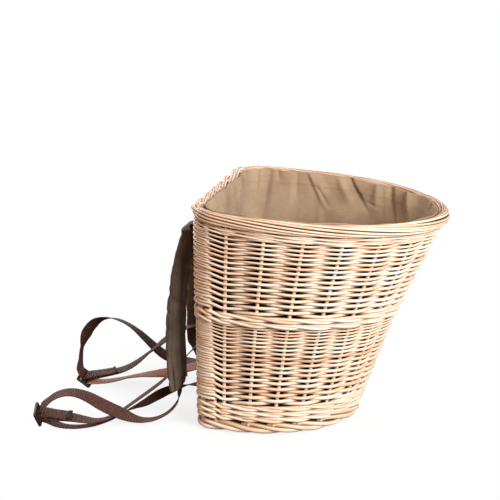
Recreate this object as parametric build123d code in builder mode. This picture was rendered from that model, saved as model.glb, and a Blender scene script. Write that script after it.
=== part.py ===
"""Wicker back basket: a D-shaped willow basket with a cotton liner and two padded shoulder straps.

Millimetres, +Z up. The origin is on the floor, under the middle of the flat back.
+X points from the flat back to the rounded front, and the wearer's left is -Y.
"""
import os
from math import asin, cos, hypot, radians, sin, sqrt, tan

from build123d import *

os.makedirs("parts", exist_ok=True)

# Plan of the stakes' line at the foot, at the middle wale and at the rim.
# Each plan is a flat back, two rounded back corners, bowed sides and an oval front.
# The side bow is how much wider the basket is at its widest than at its back corners.
base_back_x, base_half_back, base_side_bow = 3, 140, 2
base_wide_x, base_depth, base_corner_r = 73, 244, 20
mid_back_x, mid_half_back, mid_side_bow = 1, 157, 12
mid_wide_x, mid_depth, mid_corner_r = 100, 319, 40
rim_back_x, rim_half_back, rim_side_bow = 0, 170, 22
rim_wide_x, rim_depth, rim_corner_r = 123, 394, 60

# Heights at the back. The rim falls towards the front, and the bands below fall with it.
rim_top = 402
border_height = 24
top_wale_height = 12
mid_z = 217
mid_wale_height = 22
upsett_top = 56
foot_top = 24
rim_fall = 0.058
rim_z = rim_top - border_height / 2
top_wale_top = rim_top - border_height
siding_top = top_wale_top - top_wale_height
mid_wale_top = mid_z + mid_wale_height / 2
mid_wale_bottom = mid_z - mid_wale_height / 2

# How far each woven band stands out from the stakes' line, outside and inside.
siding_out, siding_in = 7, 7
wale_out, wale_in = 8.5, 8.5
border_out, border_in = 11, 10.5
border_round = 5
foot_out, foot_in = 10, 14
foot_round = 3

# Uprights and base.
stake_d = 6
post_d = 10
side_stake_count = 14
corner_stake_reach = 25
back_stake_y = 70
stake_foot = 6
rod_clearance = 0.3
base_thickness = 12
base_stick_d = 8
base_stick_count = 5
base_edge_clearance = 0.3
base_stick_first = 30
base_stick_inset = 4

# Liner.
liner_in = 11.5
liner_cloth = 1.2
liner_clearance = 0.4
liner_below_rim = 8
hem_height = 22
hem_cloth = 1.5
hem_gap = 0.1

# Webbing, and the slots where it goes through the weave.
web_width = 25
web_thick = 1.5
slot_clearance = 0.6
strap_y = 45
strap_upper_z = 130
strap_lower_z = 44
strap_out_x = -9
web_meet_gap = 0.3
tail_points = 4
tail_gap = 0.8

# Shoulder pads and their hangers.
hanger_width = 38
hanger_thick = 2
hanger_slot_z = siding_top - 8
hanger_return_z = hanger_slot_z - 24
hanger_reach = 8.4
hinge_gap = 0.4
pad_y = 95
pad_top_x, pad_top_z = -20, hanger_slot_z - 8
pad_mid_x, pad_mid_z = -50, 205
pad_low_x, pad_low_z = -48, 58
pad_width = 70
pad_thick = 19
pad_edge_thick = 3
cover_cloth = 1.4
foam_edge_in = 5
foam_edge_thick = 2.4
foam_gap = 0.2
# Share along the pad, and there the share of its full width and of its full thickness.
# The dip near the lower end is the sewn channel across the pad.
pad_shape = [
    (0.00, 0.83, 0.30), (0.04, 0.90, 0.55), (0.13, 0.96, 0.85), (0.30, 1.00, 1.00),
    (0.50, 1.00, 1.00), (0.68, 1.00, 0.96), (0.765, 0.99, 0.80), (0.80, 0.985, 0.45),
    (0.835, 0.98, 0.74), (0.90, 0.96, 0.70), (0.96, 0.90, 0.50), (1.00, 0.83, 0.30),
]

# Sliders.
slider_across, slider_along, slider_thick = 36, 30, 4
slider_corner_r = 4
slider_slot_w, slider_slot_h = 26.5, 6
slider_bar = 5

# Webbing routes, chosen point by point, with the way that the webbing's width points there.
left_front_route = [
    ((-48, -95, 57.5), (0, 1, 0)),
    ((-47, -95, 43), (0, 1, 0)),
    ((-50, -101, 27), (0.1, 1, 0)),
    ((-62, -114, 11), (-0.6, 0.7, -0.1)),
    ((-79, -128, 4), (-0.6, 0.7, 0)),
    ((-98, -140, 5), (-0.5, 0.8, 0.2)),
    ((-118, -152, 17), (-0.2, 0.6, 0.6)),
    ((-145, -150, 27), (-0.1, 0.3, 0.95)),
    ((-174, -144, 35), (0.1, 0.3, 0.95)),
    ((-200, -148, 46), (0.1, 0.5, 0.85)),
    ((-224, -162, 54), (0, 0.7, 0.7)),
    ((-243, -176, 54), (-0.1, 0.85, 0.5)),
    ((-257, -187, 46), (-0.2, 0.9, 0.4)),
    ((-267, -194.5, 36.5), (-0.225, 0.916, 0.328)),
]
left_return_route = [
    ((-270, -192.3, 21.2), (-0.225, 0.916, 0.328)),
    ((-257, -190.5, 22), (-0.2, 0.88, 0.42)),
    ((-239, -188, 21), (-0.1, 0.8, 0.55)),
    ((-218, -184.5, 18), (-0.1, 0.75, 0.65)),
    ((-193, -183, 12.5), (0, 0.85, 0.45)),
    ((-170, -173, 9), (0.3, 0.9, 0.2)),
    ((-153, -144, 9), (-0.8, 0.5, 0)),
    ((-143, -106, 11), (-0.9, 0.3, 0)),
    ((-129, -77, 18), (-0.8, 0.5, 0)),
    ((-111, -59, 30), (-0.5, 0.8, 0)),
    ((-90, -49, 47), (-0.2, 0.95, 0)),
    ((-69, -46, 70), (0, 1, 0)),
    ((-48, -45, 96), (0, 1, 0)),
    ((-28, -45, 118), (0, 1, 0)),
    ((-9.8, -45, 130), (0, 1, 0)),
]
left_lower_route = [
    ((-267, -189.5, 13), (-0.225, 0.916, 0.328)),
    ((-252, -195, 8.5), (-0.2, 0.9, 0.2)),
    ((-232, -202, 4.5), (0, 1, 0)),
    ((-207, -197, 2), (0.2, 0.95, 0)),
    ((-181, -182, 2), (0.5, 0.8, 0)),
    ((-160, -158, 2.5), (0.7, -0.6, 0)),
    ((-146, -126, 3.5), (0.9, -0.4, 0)),
    ((-131, -98, 7), (0.85, -0.5, 0)),
    ((-114, -76, 13), (0.75, -0.65, 0.1)),
    ((-95, -61, 23), (0.5, -0.85, 0.2)),
    ((-73, -53, 33), (0.2, -0.97, 0.1)),
    ((-49, -48, 40), (0.1, -1, 0)),
    ((-28, -45.5, 43), (0, -1, 0)),
    ((-9.8, -45, 44), (0, -1, 0)),
]
right_front_route = [
    ((-48, 95, 57.5), (0, 1, 0)),
    ((-49, 95, 45.5), (0, 1, 0)),
    ((-57, 95, 35), (0, 1, 0)),
    ((-70, 95, 30), (0, 1, 0)),
    ((-89, 94, 30.5), (0, 1, 0)),
    ((-109, 92, 32), (-0.1, 1, 0.2)),
    ((-131, 88, 39), (-0.1, 0.9, 0.4)),
    ((-152, 84, 57), (-0.2, 0.9, 0.3)),
    ((-173, 79, 80), (-0.2, 1, 0)),
    ((-196, 72, 102), (-0.25, 0.95, -0.2)),
    ((-219, 64, 115), (-0.3, 0.95, -0.25)),
    ((-241, 55, 118), (-0.35, 0.9, -0.3)),
    ((-259, 45, 110), (-0.5, 0.8, 0)),
    ((-271, 35, 92), (-0.6, 0.8, 0)),
    ((-277, 25, 67), (-0.4, 0.9, 0)),
    ((-275.5, 14, 45), (-0.1, 0.95, 0.2)),
    ((-267, 1.5, 29), (0.023, 0.957, 0.281)),
]
right_return_route = [
    ((-255.6, -0.4, 19.8), (0.023, 0.957, 0.281)),
    ((-244, 4, 23), (-0.1, 0.85, 0.5)),
    ((-227, 13.5, 23.5), (-0.2, 0.75, 0.6)),
    ((-208, 25, 24), (-0.3, 0.8, 0.45)),
    ((-191, 36, 28), (-0.4, 0.85, 0.2)),
    ((-170, 44, 41), (-0.3, 0.95, 0)),
    ((-148, 47, 61), (-0.1, 1, 0)),
    ((-124, 47, 83), (0, 1, 0)),
    ((-98, 46, 103), (0, 1, 0)),
    ((-70, 45.5, 118), (0, 1, 0)),
    ((-39, 45, 127), (0, 1, 0)),
    ((-9.8, 45, 130), (0, 1, 0)),
]
right_lower_route = [
    ((-249.8, 0.8, 12.2), (0.023, 0.957, 0.281)),
    ((-237, 6, 8), (-0.3, 0.9, 0.1)),
    ((-217, 21, 6), (-0.5, 0.85, 0.1)),
    ((-193, 36, 10), (-0.4, 0.8, 0.4)),
    ((-168, 44, 16), (-0.1, 0.4, 0.9)),
    ((-142, 47.5, 19), (0, 0.3, 0.95)),
    ((-116, 48.5, 21), (0, 0.35, 0.93)),
    ((-91, 48, 28), (0, 0.5, 0.85)),
    ((-66, 46.5, 38), (0, 0.8, 0.6)),
    ((-38, 45.3, 43), (0, 1, 0)),
    ((-9.8, 45, 44), (0, 1, 0)),
]
left_slider_at = (-276, -193, 19)
left_slider_across, left_slider_face = (-0.225, 0.916, 0.328), (0.952, 0.138, 0.268)
right_slider_at = (-261, 1, 15)
right_slider_across, right_slider_face = (0.023, 0.957, 0.281), (0.64, -0.23, 0.73)


def save(builder, name):
    """Label one finished sub-part and write it under its node name."""
    builder.part.label = name
    export_step(builder.part, f"parts/{name}.step")


def between(low, high, share):
    """The value that lies a share of the way from low to high."""
    return low + (high - low) * share


def plan_at(z):
    """The plan's six sizes at a height on the back, read between foot, middle and rim."""
    base = (base_back_x, base_half_back, base_side_bow, base_wide_x, base_depth, base_corner_r)
    mid = (mid_back_x, mid_half_back, mid_side_bow, mid_wide_x, mid_depth, mid_corner_r)
    rim = (rim_back_x, rim_half_back, rim_side_bow, rim_wide_x, rim_depth, rim_corner_r)
    if z <= mid_z:
        return [between(a, b, z / mid_z) for a, b in zip(base, mid)]
    return [between(a, b, (z - mid_z) / (rim_z - mid_z)) for a, b in zip(mid, rim)]


def fall_at(z):
    """Slope of a woven row: level at the foot, the rim's own fall at the rim."""
    return rim_fall * z / rim_z


def level_plane(z):
    """The plane of one woven row, tipped down towards the front."""
    return Plane(origin=(0, 0, z), x_dir=(1, 0, -fall_at(z)), z_dir=(fall_at(z), 0, 1))


def plan_face(z, grow):
    """One slice of the basket at height z, grown outwards from the stakes' line."""
    back_x, half_back, bow, wide_x, depth, corner_r = plan_at(z)
    back = back_x - grow
    corner = half_back + grow
    wide = corner + bow
    front_r = depth - wide_x + grow
    with BuildSketch(level_plane(z)) as slice_sketch:
        with BuildLine():
            Line((back, -corner), (back, corner))
            TangentArc((wide_x, wide), (back, corner), tangent=(-1, 0))
            EllipticalCenterArc((wide_x, 0), front_r, wide, 0, arc_size=90)
            EllipticalCenterArc((wide_x, 0), front_r, wide, -90, arc_size=90)
            TangentArc((wide_x, -wide), (back, -corner), tangent=(-1, 0))
        make_face()
        fillet(slice_sketch.vertices().sort_by(Axis.X)[:2], corner_r + grow)
    return slice_sketch.sketch.face()


def side_direction(z):
    """Angle by which the side leaves the back corner, outwards from straight ahead."""
    back_x, _, bow, wide_x, _, _ = plan_at(z)
    run = wide_x - back_x
    return asin(2 * run * bow / (run**2 + bow**2))


def half_plan(z, steps=120):
    """Points of the stakes' line from the back corner round to the middle of the front."""
    back_x, half_back, bow, wide_x, depth, _ = plan_at(z)
    run, half_wide = wide_x - back_x, half_back + bow
    side_r = (run**2 + bow**2) / (2 * bow)
    turn = side_direction(z)
    side = [turn * (1 - i / steps) for i in range(steps)]
    points = [(wide_x - side_r * sin(a), half_wide - side_r * (1 - cos(a))) for a in side]
    front = [radians(90 * (1 - i / steps)) for i in range(steps + 1)]
    points += [(wide_x + (depth - wide_x) * cos(a), half_wide * sin(a)) for a in front]
    return points


def plan_point(z, share):
    """The point that lies a share of the way along the half plan, by length."""
    points = half_plan(z)
    runs = [hypot(b[0] - a[0], b[1] - a[1]) for a, b in zip(points, points[1:])]
    left = share * sum(runs)
    for start, end, run in zip(points, points[1:], runs):
        if left <= run:
            return between(start[0], end[0], left / run), between(start[1], end[1], left / run)
        left -= run
    return points[-1]


def corner_walk(z, distance):
    """The point a distance along the wall from the middle of the rounded back corner."""
    back_x, half_back, _, _, _, corner_r = plan_at(z)
    side = side_direction(z)
    half_turn = (radians(90) - side) / 2
    bend = min(distance / corner_r, half_turn)
    straight = distance - bend * corner_r
    heading = half_turn + bend
    centre_y = half_back - corner_r * tan(half_turn)
    x = back_x + corner_r * (1 - cos(heading)) + straight * cos(side)
    y = centre_y + corner_r * sin(heading) + straight * sin(side)
    return x, y


def on_row(z, x, y):
    """A point of the plan lifted to its row's height."""
    return x, y, z - fall_at(z) * x


def ring(outside, inside):
    """A closed band of the wall through (height, grow) pairs, with an open middle."""
    outer = [plan_face(z, grow) for z, grow in outside]
    inner = [plan_face(z, grow) for z, grow in inside]
    with BuildPart() as band:
        loft(sections=outer, ruled=True)
        loft(sections=inner, ruled=True, mode=Mode.SUBTRACT)
    return band.part


def upright(points, diameter):
    """One rod that follows the wall from the foot to the rim."""
    with BuildPart() as rod:
        with BuildLine() as line:
            Polyline(*points)
        start = Plane(origin=points[0], z_dir=line.wire() % 0)
        with BuildSketch(start):
            Circle(diameter / 2)
        sweep(path=line.wire(), transition=Transition.RIGHT)
    return rod.part


def upright_points(foot_xy, mid_xy, rim_xy, spare=0.0):
    """Foot, bend and tip of one upright, a little longer at both ends for its bore."""
    low, top = stake_foot - spare, rim_z + spare
    return [on_row(low, *foot_xy), on_row(mid_z, *mid_xy), on_row(top, *rim_xy)]


def wall_points(place, spare=0.0):
    """Upright points for a place on the plan, given as a function of height."""
    return upright_points(place(stake_foot), place(mid_z), place(rim_z), spare)


def mirrored(place):
    """The same place on the other side of the basket."""
    return lambda z: (place(z)[0], -place(z)[1])


def webbing(route, label):
    """A flat webbing run: rectangles set along straight runs joined by tangent arcs."""
    points = [Vector(*p) for p, _ in route]
    runs = [(b - a).length for a, b in zip(points, points[1:])]
    radii = []
    for i in range(1, len(points) - 1):
        turn = radians((points[i] - points[i - 1]).get_angle(points[i + 1] - points[i]))
        radii.append(0.45 * min(runs[i - 1], runs[i]) / tan(turn / 2))
    with BuildLine() as line:
        FilletPolyline(*points, radius=radii)
    path = line.wire()
    marks = [sum(runs[:i]) / sum(runs) for i in range(len(points))]
    stations = round(path.length / 8)
    with BuildPart() as strip:
        for i in range(stations + 1):
            share = i / stations
            spot = path.position_at(share * path.length, position_mode=PositionMode.LENGTH)
            ahead = path.tangent_at(share * path.length, position_mode=PositionMode.LENGTH)
            leg = max(k for k in range(len(runs)) if marks[k] <= share)
            part_way = (share - marks[leg]) / (marks[leg + 1] - marks[leg])
            across = Vector(*route[leg][1]) * (1 - part_way) + Vector(*route[leg + 1][1]) * part_way
            across = across - ahead * across.dot(ahead)
            with BuildSketch(Plane(origin=spot, x_dir=across, z_dir=ahead)):
                Rectangle(web_width, web_thick)
        loft(ruled=True)
    wanted = web_width * web_thick * path.length
    print(label, "length", round(path.length, 1), "bends", [round(r) for r in radii],
          "volume share", round(strip.part.volume / wanted, 3))
    return strip


def shifted(route, amount):
    """A route moved off its webbing's face by an amount."""
    moved = []
    for i, (spot, across) in enumerate(route):
        before = Vector(*route[max(i - 1, 0)][0])
        after = Vector(*route[min(i + 1, len(route) - 1)][0])
        lift = (after - before).cross(Vector(*across)).normalized()
        moved.append((tuple(Vector(*spot) + lift * amount), across))
    return moved


def through_wall(y, width, thick, upper_z, lower_z, upper_out, lower_out, inner_x):
    """Webbing that goes in through the wall, down inside it and out again lower down."""
    with BuildPart() as loop:
        with BuildSketch(Plane.XZ.offset(-y)):
            for z, out in ((upper_z, upper_out), (lower_z, lower_out)):
                with Locations((between(out, inner_x + thick, 0.5), z)):
                    Rectangle(inner_x + thick - out, thick)
            with Locations((inner_x + thick / 2, between(lower_z, upper_z, 0.5))):
                Rectangle(thick, upper_z - lower_z + thick)
        extrude(amount=width / 2, both=True)
    return loop


def slots(heights, centre_y, width, thick):
    """Slots for webbing through the back of the basket, on both sides."""
    with BuildPart() as cuts:
        for z in heights:
            with Locations((0, centre_y, z), (0, -centre_y, z)):
                Box(60, width + 2 * slot_clearance, thick + 2 * slot_clearance)
    return cuts.part


# Uprights of the wall, and the bores that they stand in.
half_gaps = (side_stake_count + 1) / 2
side_places = []
for k in range(1, side_stake_count // 2 + 1):
    place = lambda z, share=k / half_gaps: plan_point(z, share)
    side_places += [place, mirrored(place)]
corner_stake = lambda z: corner_walk(z, corner_stake_reach)
side_places += [corner_stake, mirrored(corner_stake)]
corner_post = lambda z: corner_walk(z, 0)
back_places = [lambda z, y=y: (plan_at(z)[0], y) for y in (-back_stake_y, 0, back_stake_y)]
bore_d = stake_d + 2 * rod_clearance
post_bore_d = post_d + 2 * rod_clearance
bores = [upright(wall_points(p, rod_clearance), bore_d) for p in side_places + back_places]
bores += [upright(wall_points(p, rod_clearance), post_bore_d)
          for p in (corner_post, mirrored(corner_post))]

side_rods = [upright(wall_points(p), stake_d) for p in side_places]
back_rods = [upright(wall_points(p), stake_d) for p in back_places]
left_post = upright(wall_points(mirrored(corner_post)), post_d)
right_post = upright(wall_points(corner_post), post_d)

with BuildPart() as side_stakes:
    add(side_rods)
save(side_stakes, "side_stakes")

with BuildPart() as back_stakes:
    add(back_rods)
save(back_stakes, "back_stakes")

with BuildPart() as left_corner_post:
    add(left_post)
save(left_corner_post, "left_corner_post")

with BuildPart() as right_corner_post:
    add(right_post)
save(right_corner_post, "right_corner_post")

# Foot border: the basket stands on it, and the base rests on its inner edge.
foot_band = ring([(0, foot_out - foot_round), (foot_round, foot_out),
                  (foot_top - foot_round, foot_out), (foot_top, foot_out - foot_round)],
                 [(0, -foot_in), (foot_top, -foot_in)])
with BuildPart() as foot_border:
    add(foot_band)
    add(bores, mode=Mode.SUBTRACT)
save(foot_border, "foot_border")

# Woven bands of the wall, from the foot up.
upsett_band = ring([(foot_top, wale_out), (upsett_top, wale_out)],
                   [(foot_top, -wale_in), (upsett_top, -wale_in)])
lower_slots = slots([strap_lower_z], strap_y, web_width, web_thick)
with BuildPart() as upsett_wale:
    add(upsett_band)
    add(bores, mode=Mode.SUBTRACT)
    add(lower_slots, mode=Mode.SUBTRACT)
save(upsett_wale, "upsett_wale")

lower_band = ring([(upsett_top, siding_out), (mid_wale_bottom, siding_out)],
                  [(upsett_top, -siding_in), (mid_wale_bottom, -siding_in)])
upper_slots = slots([strap_upper_z], strap_y, web_width, web_thick)
with BuildPart() as lower_siding:
    add(lower_band)
    add(bores, mode=Mode.SUBTRACT)
    add(upper_slots, mode=Mode.SUBTRACT)
save(lower_siding, "lower_siding")

mid_band = ring([(mid_wale_bottom, wale_out), (mid_z, wale_out), (mid_wale_top, wale_out)],
                [(mid_wale_bottom, -wale_in), (mid_z, -wale_in), (mid_wale_top, -wale_in)])
with BuildPart() as mid_wale:
    add(mid_band)
    add(bores, mode=Mode.SUBTRACT)
save(mid_wale, "mid_wale")

upper_band = ring([(mid_wale_top, siding_out), (siding_top, siding_out)],
                  [(mid_wale_top, -siding_in), (siding_top, -siding_in)])
hanger_slots = slots([hanger_slot_z, hanger_return_z], pad_y, hanger_width, hanger_thick)
with BuildPart() as upper_siding:
    add(upper_band)
    add(bores, mode=Mode.SUBTRACT)
    add(hanger_slots, mode=Mode.SUBTRACT)
save(upper_siding, "upper_siding")

top_band = ring([(siding_top, wale_out), (top_wale_top, wale_out)],
                [(siding_top, -wale_in), (top_wale_top, -wale_in)])
with BuildPart() as top_wale:
    add(top_band)
    add(bores, mode=Mode.SUBTRACT)
save(top_wale, "top_wale")

# Rim border, rounded at its outer and inner edges.
rim_band = ring([(top_wale_top, border_out - border_round), (top_wale_top + border_round, border_out),
                 (rim_top - border_round, border_out), (rim_top, border_out - border_round)],
                [(top_wale_top, border_round - border_in), (top_wale_top + border_round, -border_in),
                 (rim_top - border_round, -border_in), (rim_top, border_round - border_in)])
with BuildPart() as rim_border:
    add(rim_band)
    add(bores, mode=Mode.SUBTRACT)
save(rim_border, "rim_border")

# Base: a woven floor on sticks that run from side to side.
base_edge = -wale_in - base_edge_clearance
base_top = foot_top + base_thickness
base_mid = between(foot_top, base_top, 0.5)


def base_sticks_solid(extra):
    """The base's sticks, thicker and longer by a bore's clearance where asked."""
    _, half_back, bow, wide_x, depth, _ = plan_at(base_mid)
    front_r, wide = depth - wide_x + base_edge, half_back + bow + base_edge
    pitch = (depth - base_stick_first) / base_stick_count
    with BuildPart() as sticks:
        for k in range(base_stick_count):
            x = base_stick_first + k * pitch
            ahead = max(x + base_stick_d / 2 - wide_x, 0) / front_r
            half = min(half_back + base_edge, wide * sqrt(1 - ahead**2)) - base_stick_inset
            with Locations(on_row(base_mid, x, 0)):
                Cylinder(base_stick_d / 2 + extra, 2 * (half + extra), rotation=(90, 0, 0))
    return sticks.part


sticks_in_base = base_sticks_solid(0)
stick_bores = base_sticks_solid(rod_clearance)
base_slices = [plan_face(foot_top, base_edge), plan_face(base_top, base_edge)]

with BuildPart() as base_sticks:
    add(sticks_in_base)
save(base_sticks, "base_sticks")

with BuildPart() as base_weave:
    loft(sections=base_slices, ruled=True)
    add(stick_bores, mode=Mode.SUBTRACT)
save(base_weave, "base_weave")

# Cotton liner, a bag with a floor that covers the border's inner face, and its hem.
liner_low = base_top + liner_clearance
liner_high = rim_top - liner_below_rim
liner_outer = [plan_face(z, -liner_in) for z in (liner_low, mid_z, liner_high)]
liner_inner = [plan_face(z, -liner_in - liner_cloth)
               for z in (liner_low + liner_cloth, mid_z, liner_high + 1)]
with BuildPart() as liner:
    loft(sections=liner_outer, ruled=True)
    loft(sections=liner_inner, ruled=True, mode=Mode.SUBTRACT)
save(liner, "liner")

hem_out = -liner_in - liner_cloth - hem_gap
hem_low = liner_high - hem_height
hem_band = ring([(hem_low, hem_out), (liner_high, hem_out)],
                [(hem_low, hem_out - hem_cloth), (liner_high, hem_out - hem_cloth)])
with BuildPart() as liner_hem:
    add(hem_band)
save(liner_hem, "liner_hem")

# Sides of the harness: the wearer's left is at -Y.
strap_inner_x = plan_at(upsett_top)[0] + wale_in + web_meet_gap
hanger_inner_x = plan_at(hanger_return_z)[0] + siding_in + web_meet_gap


def pad_section(line, share, width, thick, edge):
    """One cross-section of a pad: a crowned lens with narrow flat edges."""
    with BuildSketch(Plane(origin=line @ share, x_dir=(0, 1, 0), z_dir=line % share)) as lens:
        with BuildLine():
            ThreePointArc((-width / 2, edge / 2), (0, thick / 2), (width / 2, edge / 2))
            Line((width / 2, edge / 2), (width / 2, -edge / 2))
            ThreePointArc((width / 2, -edge / 2), (0, -thick / 2), (-width / 2, -edge / 2))
            Line((-width / 2, -edge / 2), (-width / 2, edge / 2))
        make_face()
    return lens.sketch.face()


def pad_line(y):
    """The middle line of a pad as it hangs, bowed away from the basket."""
    with BuildLine() as bow:
        ThreePointArc((pad_top_x, y, pad_top_z), (pad_mid_x, y, pad_mid_z), (pad_low_x, y, pad_low_z))
    return bow.line.edge()


def pad_foam(y, extra):
    """The foam in a pad, or with extra the room for it in the cover."""
    line = pad_line(y)
    slices = []
    for share, wide, thick in pad_shape[1:-1]:
        across = wide * pad_width - 2 * foam_edge_in + 2 * extra
        through = thick * pad_thick - 2 * (cover_cloth + foam_gap) + 2 * extra
        slices.append(pad_section(line, share, across, through, foam_edge_thick + 2 * extra))
    with BuildPart() as foam:
        loft(sections=slices, ruled=True)
    return foam


def pad_cover(y):
    """A sewn pad cover, hollow for its foam."""
    line = pad_line(y)
    slices = [pad_section(line, share, wide * pad_width, thick * pad_thick, pad_edge_thick)
              for share, wide, thick in pad_shape]
    room = pad_foam(y, foam_gap).part
    with BuildPart() as cover:
        loft(sections=slices, ruled=True)
        add(room, mode=Mode.SUBTRACT)
    return cover


def hinge_point(y):
    """Where a pad's tab bends: above the pad's top end, in line with it."""
    line = pad_line(y)
    return line @ 0 - (line % 0) * hanger_reach


def pad_hanger(y):
    """The webbing tab at a pad's top end, rounded where it swings."""
    down = pad_line(y) % 0
    hinge = Plane(origin=hinge_point(y), x_dir=down, z_dir=(0, 1, 0))
    with BuildPart() as tab:
        with BuildSketch(hinge):
            Circle(hanger_thick / 2)
            with Locations((hanger_reach / 2, 0)):
                Rectangle(hanger_reach, hanger_thick)
        extrude(amount=hanger_width / 2, both=True)
    return tab


def strap_slider(at, across, face):
    """A flat slider with a middle bar between two slots."""
    slot_at = (slider_bar + slider_slot_h) / 2
    with BuildPart() as slider:
        with BuildSketch(Plane(origin=at, x_dir=across, z_dir=face)):
            RectangleRounded(slider_across, slider_along, slider_corner_r)
            with Locations((0, slot_at), (0, -slot_at)):
                Rectangle(slider_slot_w, slider_slot_h, mode=Mode.SUBTRACT)
        extrude(amount=slider_thick / 2, both=True)
    return slider


hanger_out = hinge_point(pad_y).X + hanger_thick / 2 + hinge_gap
print("pad hinges at", hinge_point(-pad_y), hinge_point(pad_y))

harness = [
    ("left", -1, left_front_route, left_return_route, left_lower_route,
     left_slider_at, left_slider_across, left_slider_face),
    ("right", 1, right_front_route, right_return_route, right_lower_route,
     right_slider_at, right_slider_across, right_slider_face),
]
for side, way, front, back, low, at, across, face in harness:
    pad_anchor = through_wall(way * pad_y, hanger_width, hanger_thick, hanger_slot_z,
                              hanger_return_z, hanger_out, strap_out_x, hanger_inner_x)
    strap_anchor = through_wall(way * strap_y, web_width, web_thick, strap_upper_z,
                                strap_lower_z, strap_out_x, strap_out_x, strap_inner_x)
    tail = shifted(back[:tail_points], web_thick + tail_gap)
    save(pad_anchor, f"{side}_pad_anchor")
    save(pad_hanger(way * pad_y), f"{side}_pad_hanger")
    save(pad_cover(way * pad_y), f"{side}_pad_cover")
    save(pad_foam(way * pad_y, 0), f"{side}_pad_foam")
    save(strap_anchor, f"{side}_strap_anchor")
    save(webbing(front, f"{side} front run"), f"{side}_strap_front")
    save(webbing(back, f"{side} return run"), f"{side}_strap_return")
    save(webbing(low, f"{side} lower run"), f"{side}_strap_lower")
    save(webbing(tail, f"{side} tail"), f"{side}_strap_tail")
    save(strap_slider(at, across, face), f"{side}_slider")
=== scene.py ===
# %% [markdown]
# # A willow back basket
# A back basket is a deep basket with one flat side, which lies against the wearer's back.
# This one has a body of peeled willow rods, a cotton bag inside it, two padded shoulder
# straps and brown webbing with sliders.
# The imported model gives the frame: every piece below is made in its place, in metres.

# %% Load the frame
from math import asin, atan2, cos, pi, radians, sin, sqrt

import bpy
import numpy as np
from mathutils import Matrix, Vector


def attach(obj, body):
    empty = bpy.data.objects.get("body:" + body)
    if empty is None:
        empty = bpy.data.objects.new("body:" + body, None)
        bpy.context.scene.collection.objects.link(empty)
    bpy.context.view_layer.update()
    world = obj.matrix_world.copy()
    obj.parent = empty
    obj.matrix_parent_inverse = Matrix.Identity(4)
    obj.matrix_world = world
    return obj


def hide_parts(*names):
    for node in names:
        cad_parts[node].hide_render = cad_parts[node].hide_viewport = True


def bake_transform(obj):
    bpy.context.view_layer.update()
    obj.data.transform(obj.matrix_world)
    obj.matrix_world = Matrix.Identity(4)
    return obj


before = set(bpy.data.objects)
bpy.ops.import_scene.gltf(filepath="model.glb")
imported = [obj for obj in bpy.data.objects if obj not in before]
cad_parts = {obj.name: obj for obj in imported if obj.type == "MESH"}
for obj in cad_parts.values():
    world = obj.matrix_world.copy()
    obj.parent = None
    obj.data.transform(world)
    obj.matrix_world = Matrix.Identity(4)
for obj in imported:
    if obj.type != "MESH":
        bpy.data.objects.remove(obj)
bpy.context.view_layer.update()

scene = bpy.context.scene
scene.view_settings.view_transform = "Standard"
bpy.ops.object.select_all(action="DESELECT")

# %% [markdown]
# ## The camera
# A picture's viewpoint can be found from the basket's own outline: the rim's two ends, the
# foot and the bend in the wall fix the direction, the distance and the lens. The camera is
# then placed by its own three directions, so nothing has to be aimed at a helper object.

# %% Camera
# The width of the picture and the focal length are in pixels, the sensor in millimetres.
PICTURE, FOCAL, SENSOR = 500, 1300, 36
VIEW_TURN, VIEW_LIFT, VIEW_DISTANCE = radians(13.737), radians(15.666), 2.3015
LOOK_AT = Vector((0.057, 0, 0.2863))

to_camera = Vector((sin(VIEW_TURN) * cos(VIEW_LIFT), -cos(VIEW_TURN) * cos(VIEW_LIFT), sin(VIEW_LIFT)))
to_right = Vector((cos(VIEW_TURN), sin(VIEW_TURN), 0))
to_top = to_camera.cross(to_right)
bpy.ops.object.camera_add()
camera = bpy.context.object
camera.matrix_world = Matrix.Translation(LOOK_AT + to_camera * VIEW_DISTANCE) @ Matrix(
    (to_right, to_top, to_camera)).transposed().to_4x4()
camera.data.sensor_width = SENSOR
camera.data.lens = SENSOR * FOCAL / PICTURE
scene.camera = camera
print("lens", round(camera.data.lens, 1), "mm")

# %% [markdown]
# ## The webbing
# Webbing is a woven ribbon: it bends and twists easily, but it never stretches or bends
# edgeways. Each run here is a route of a few points, and at each point the way that the
# ribbon's width lies. A smooth spline goes along the points, and a thin ribbon follows it.

# %% Routes of the webbing, in millimetres
# After each point stands the way the width lies. One number means: turn the ribbon about its own
# line until this share of its width shows in the picture. Its sign picks the edge that comes nearer.
MM = 0.001
EVEN = (0, 1, 0)
LEFT_BAR, RIGHT_BAR = (-0.225, 0.916, 0.328), (0.023, 0.957, 0.281)
LEFT_SLIDER = ((-276, -193, 19), LEFT_BAR, (0.952, 0.138, 0.268))
RIGHT_SLIDER = ((-261, 1, 15), RIGHT_BAR, (0.64, -0.23, 0.73))


def slider_axes(slider):
    """The middle of a slider, and its directions along the bar, up the plate and out of it."""
    at, bar, face = (Vector(v) for v in slider)
    bar.normalize()
    face = (face - bar * face.dot(bar)).normalized()
    return at, bar, face.cross(bar), face


def through(slider, *places):
    """Points in a slider's middle plane, each given as a height up the plate and a distance out of it."""
    at, bar, up, face = slider_axes(slider)
    return [(tuple(at + up * high + face * out), tuple(bar)) for high, out in places]


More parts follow.
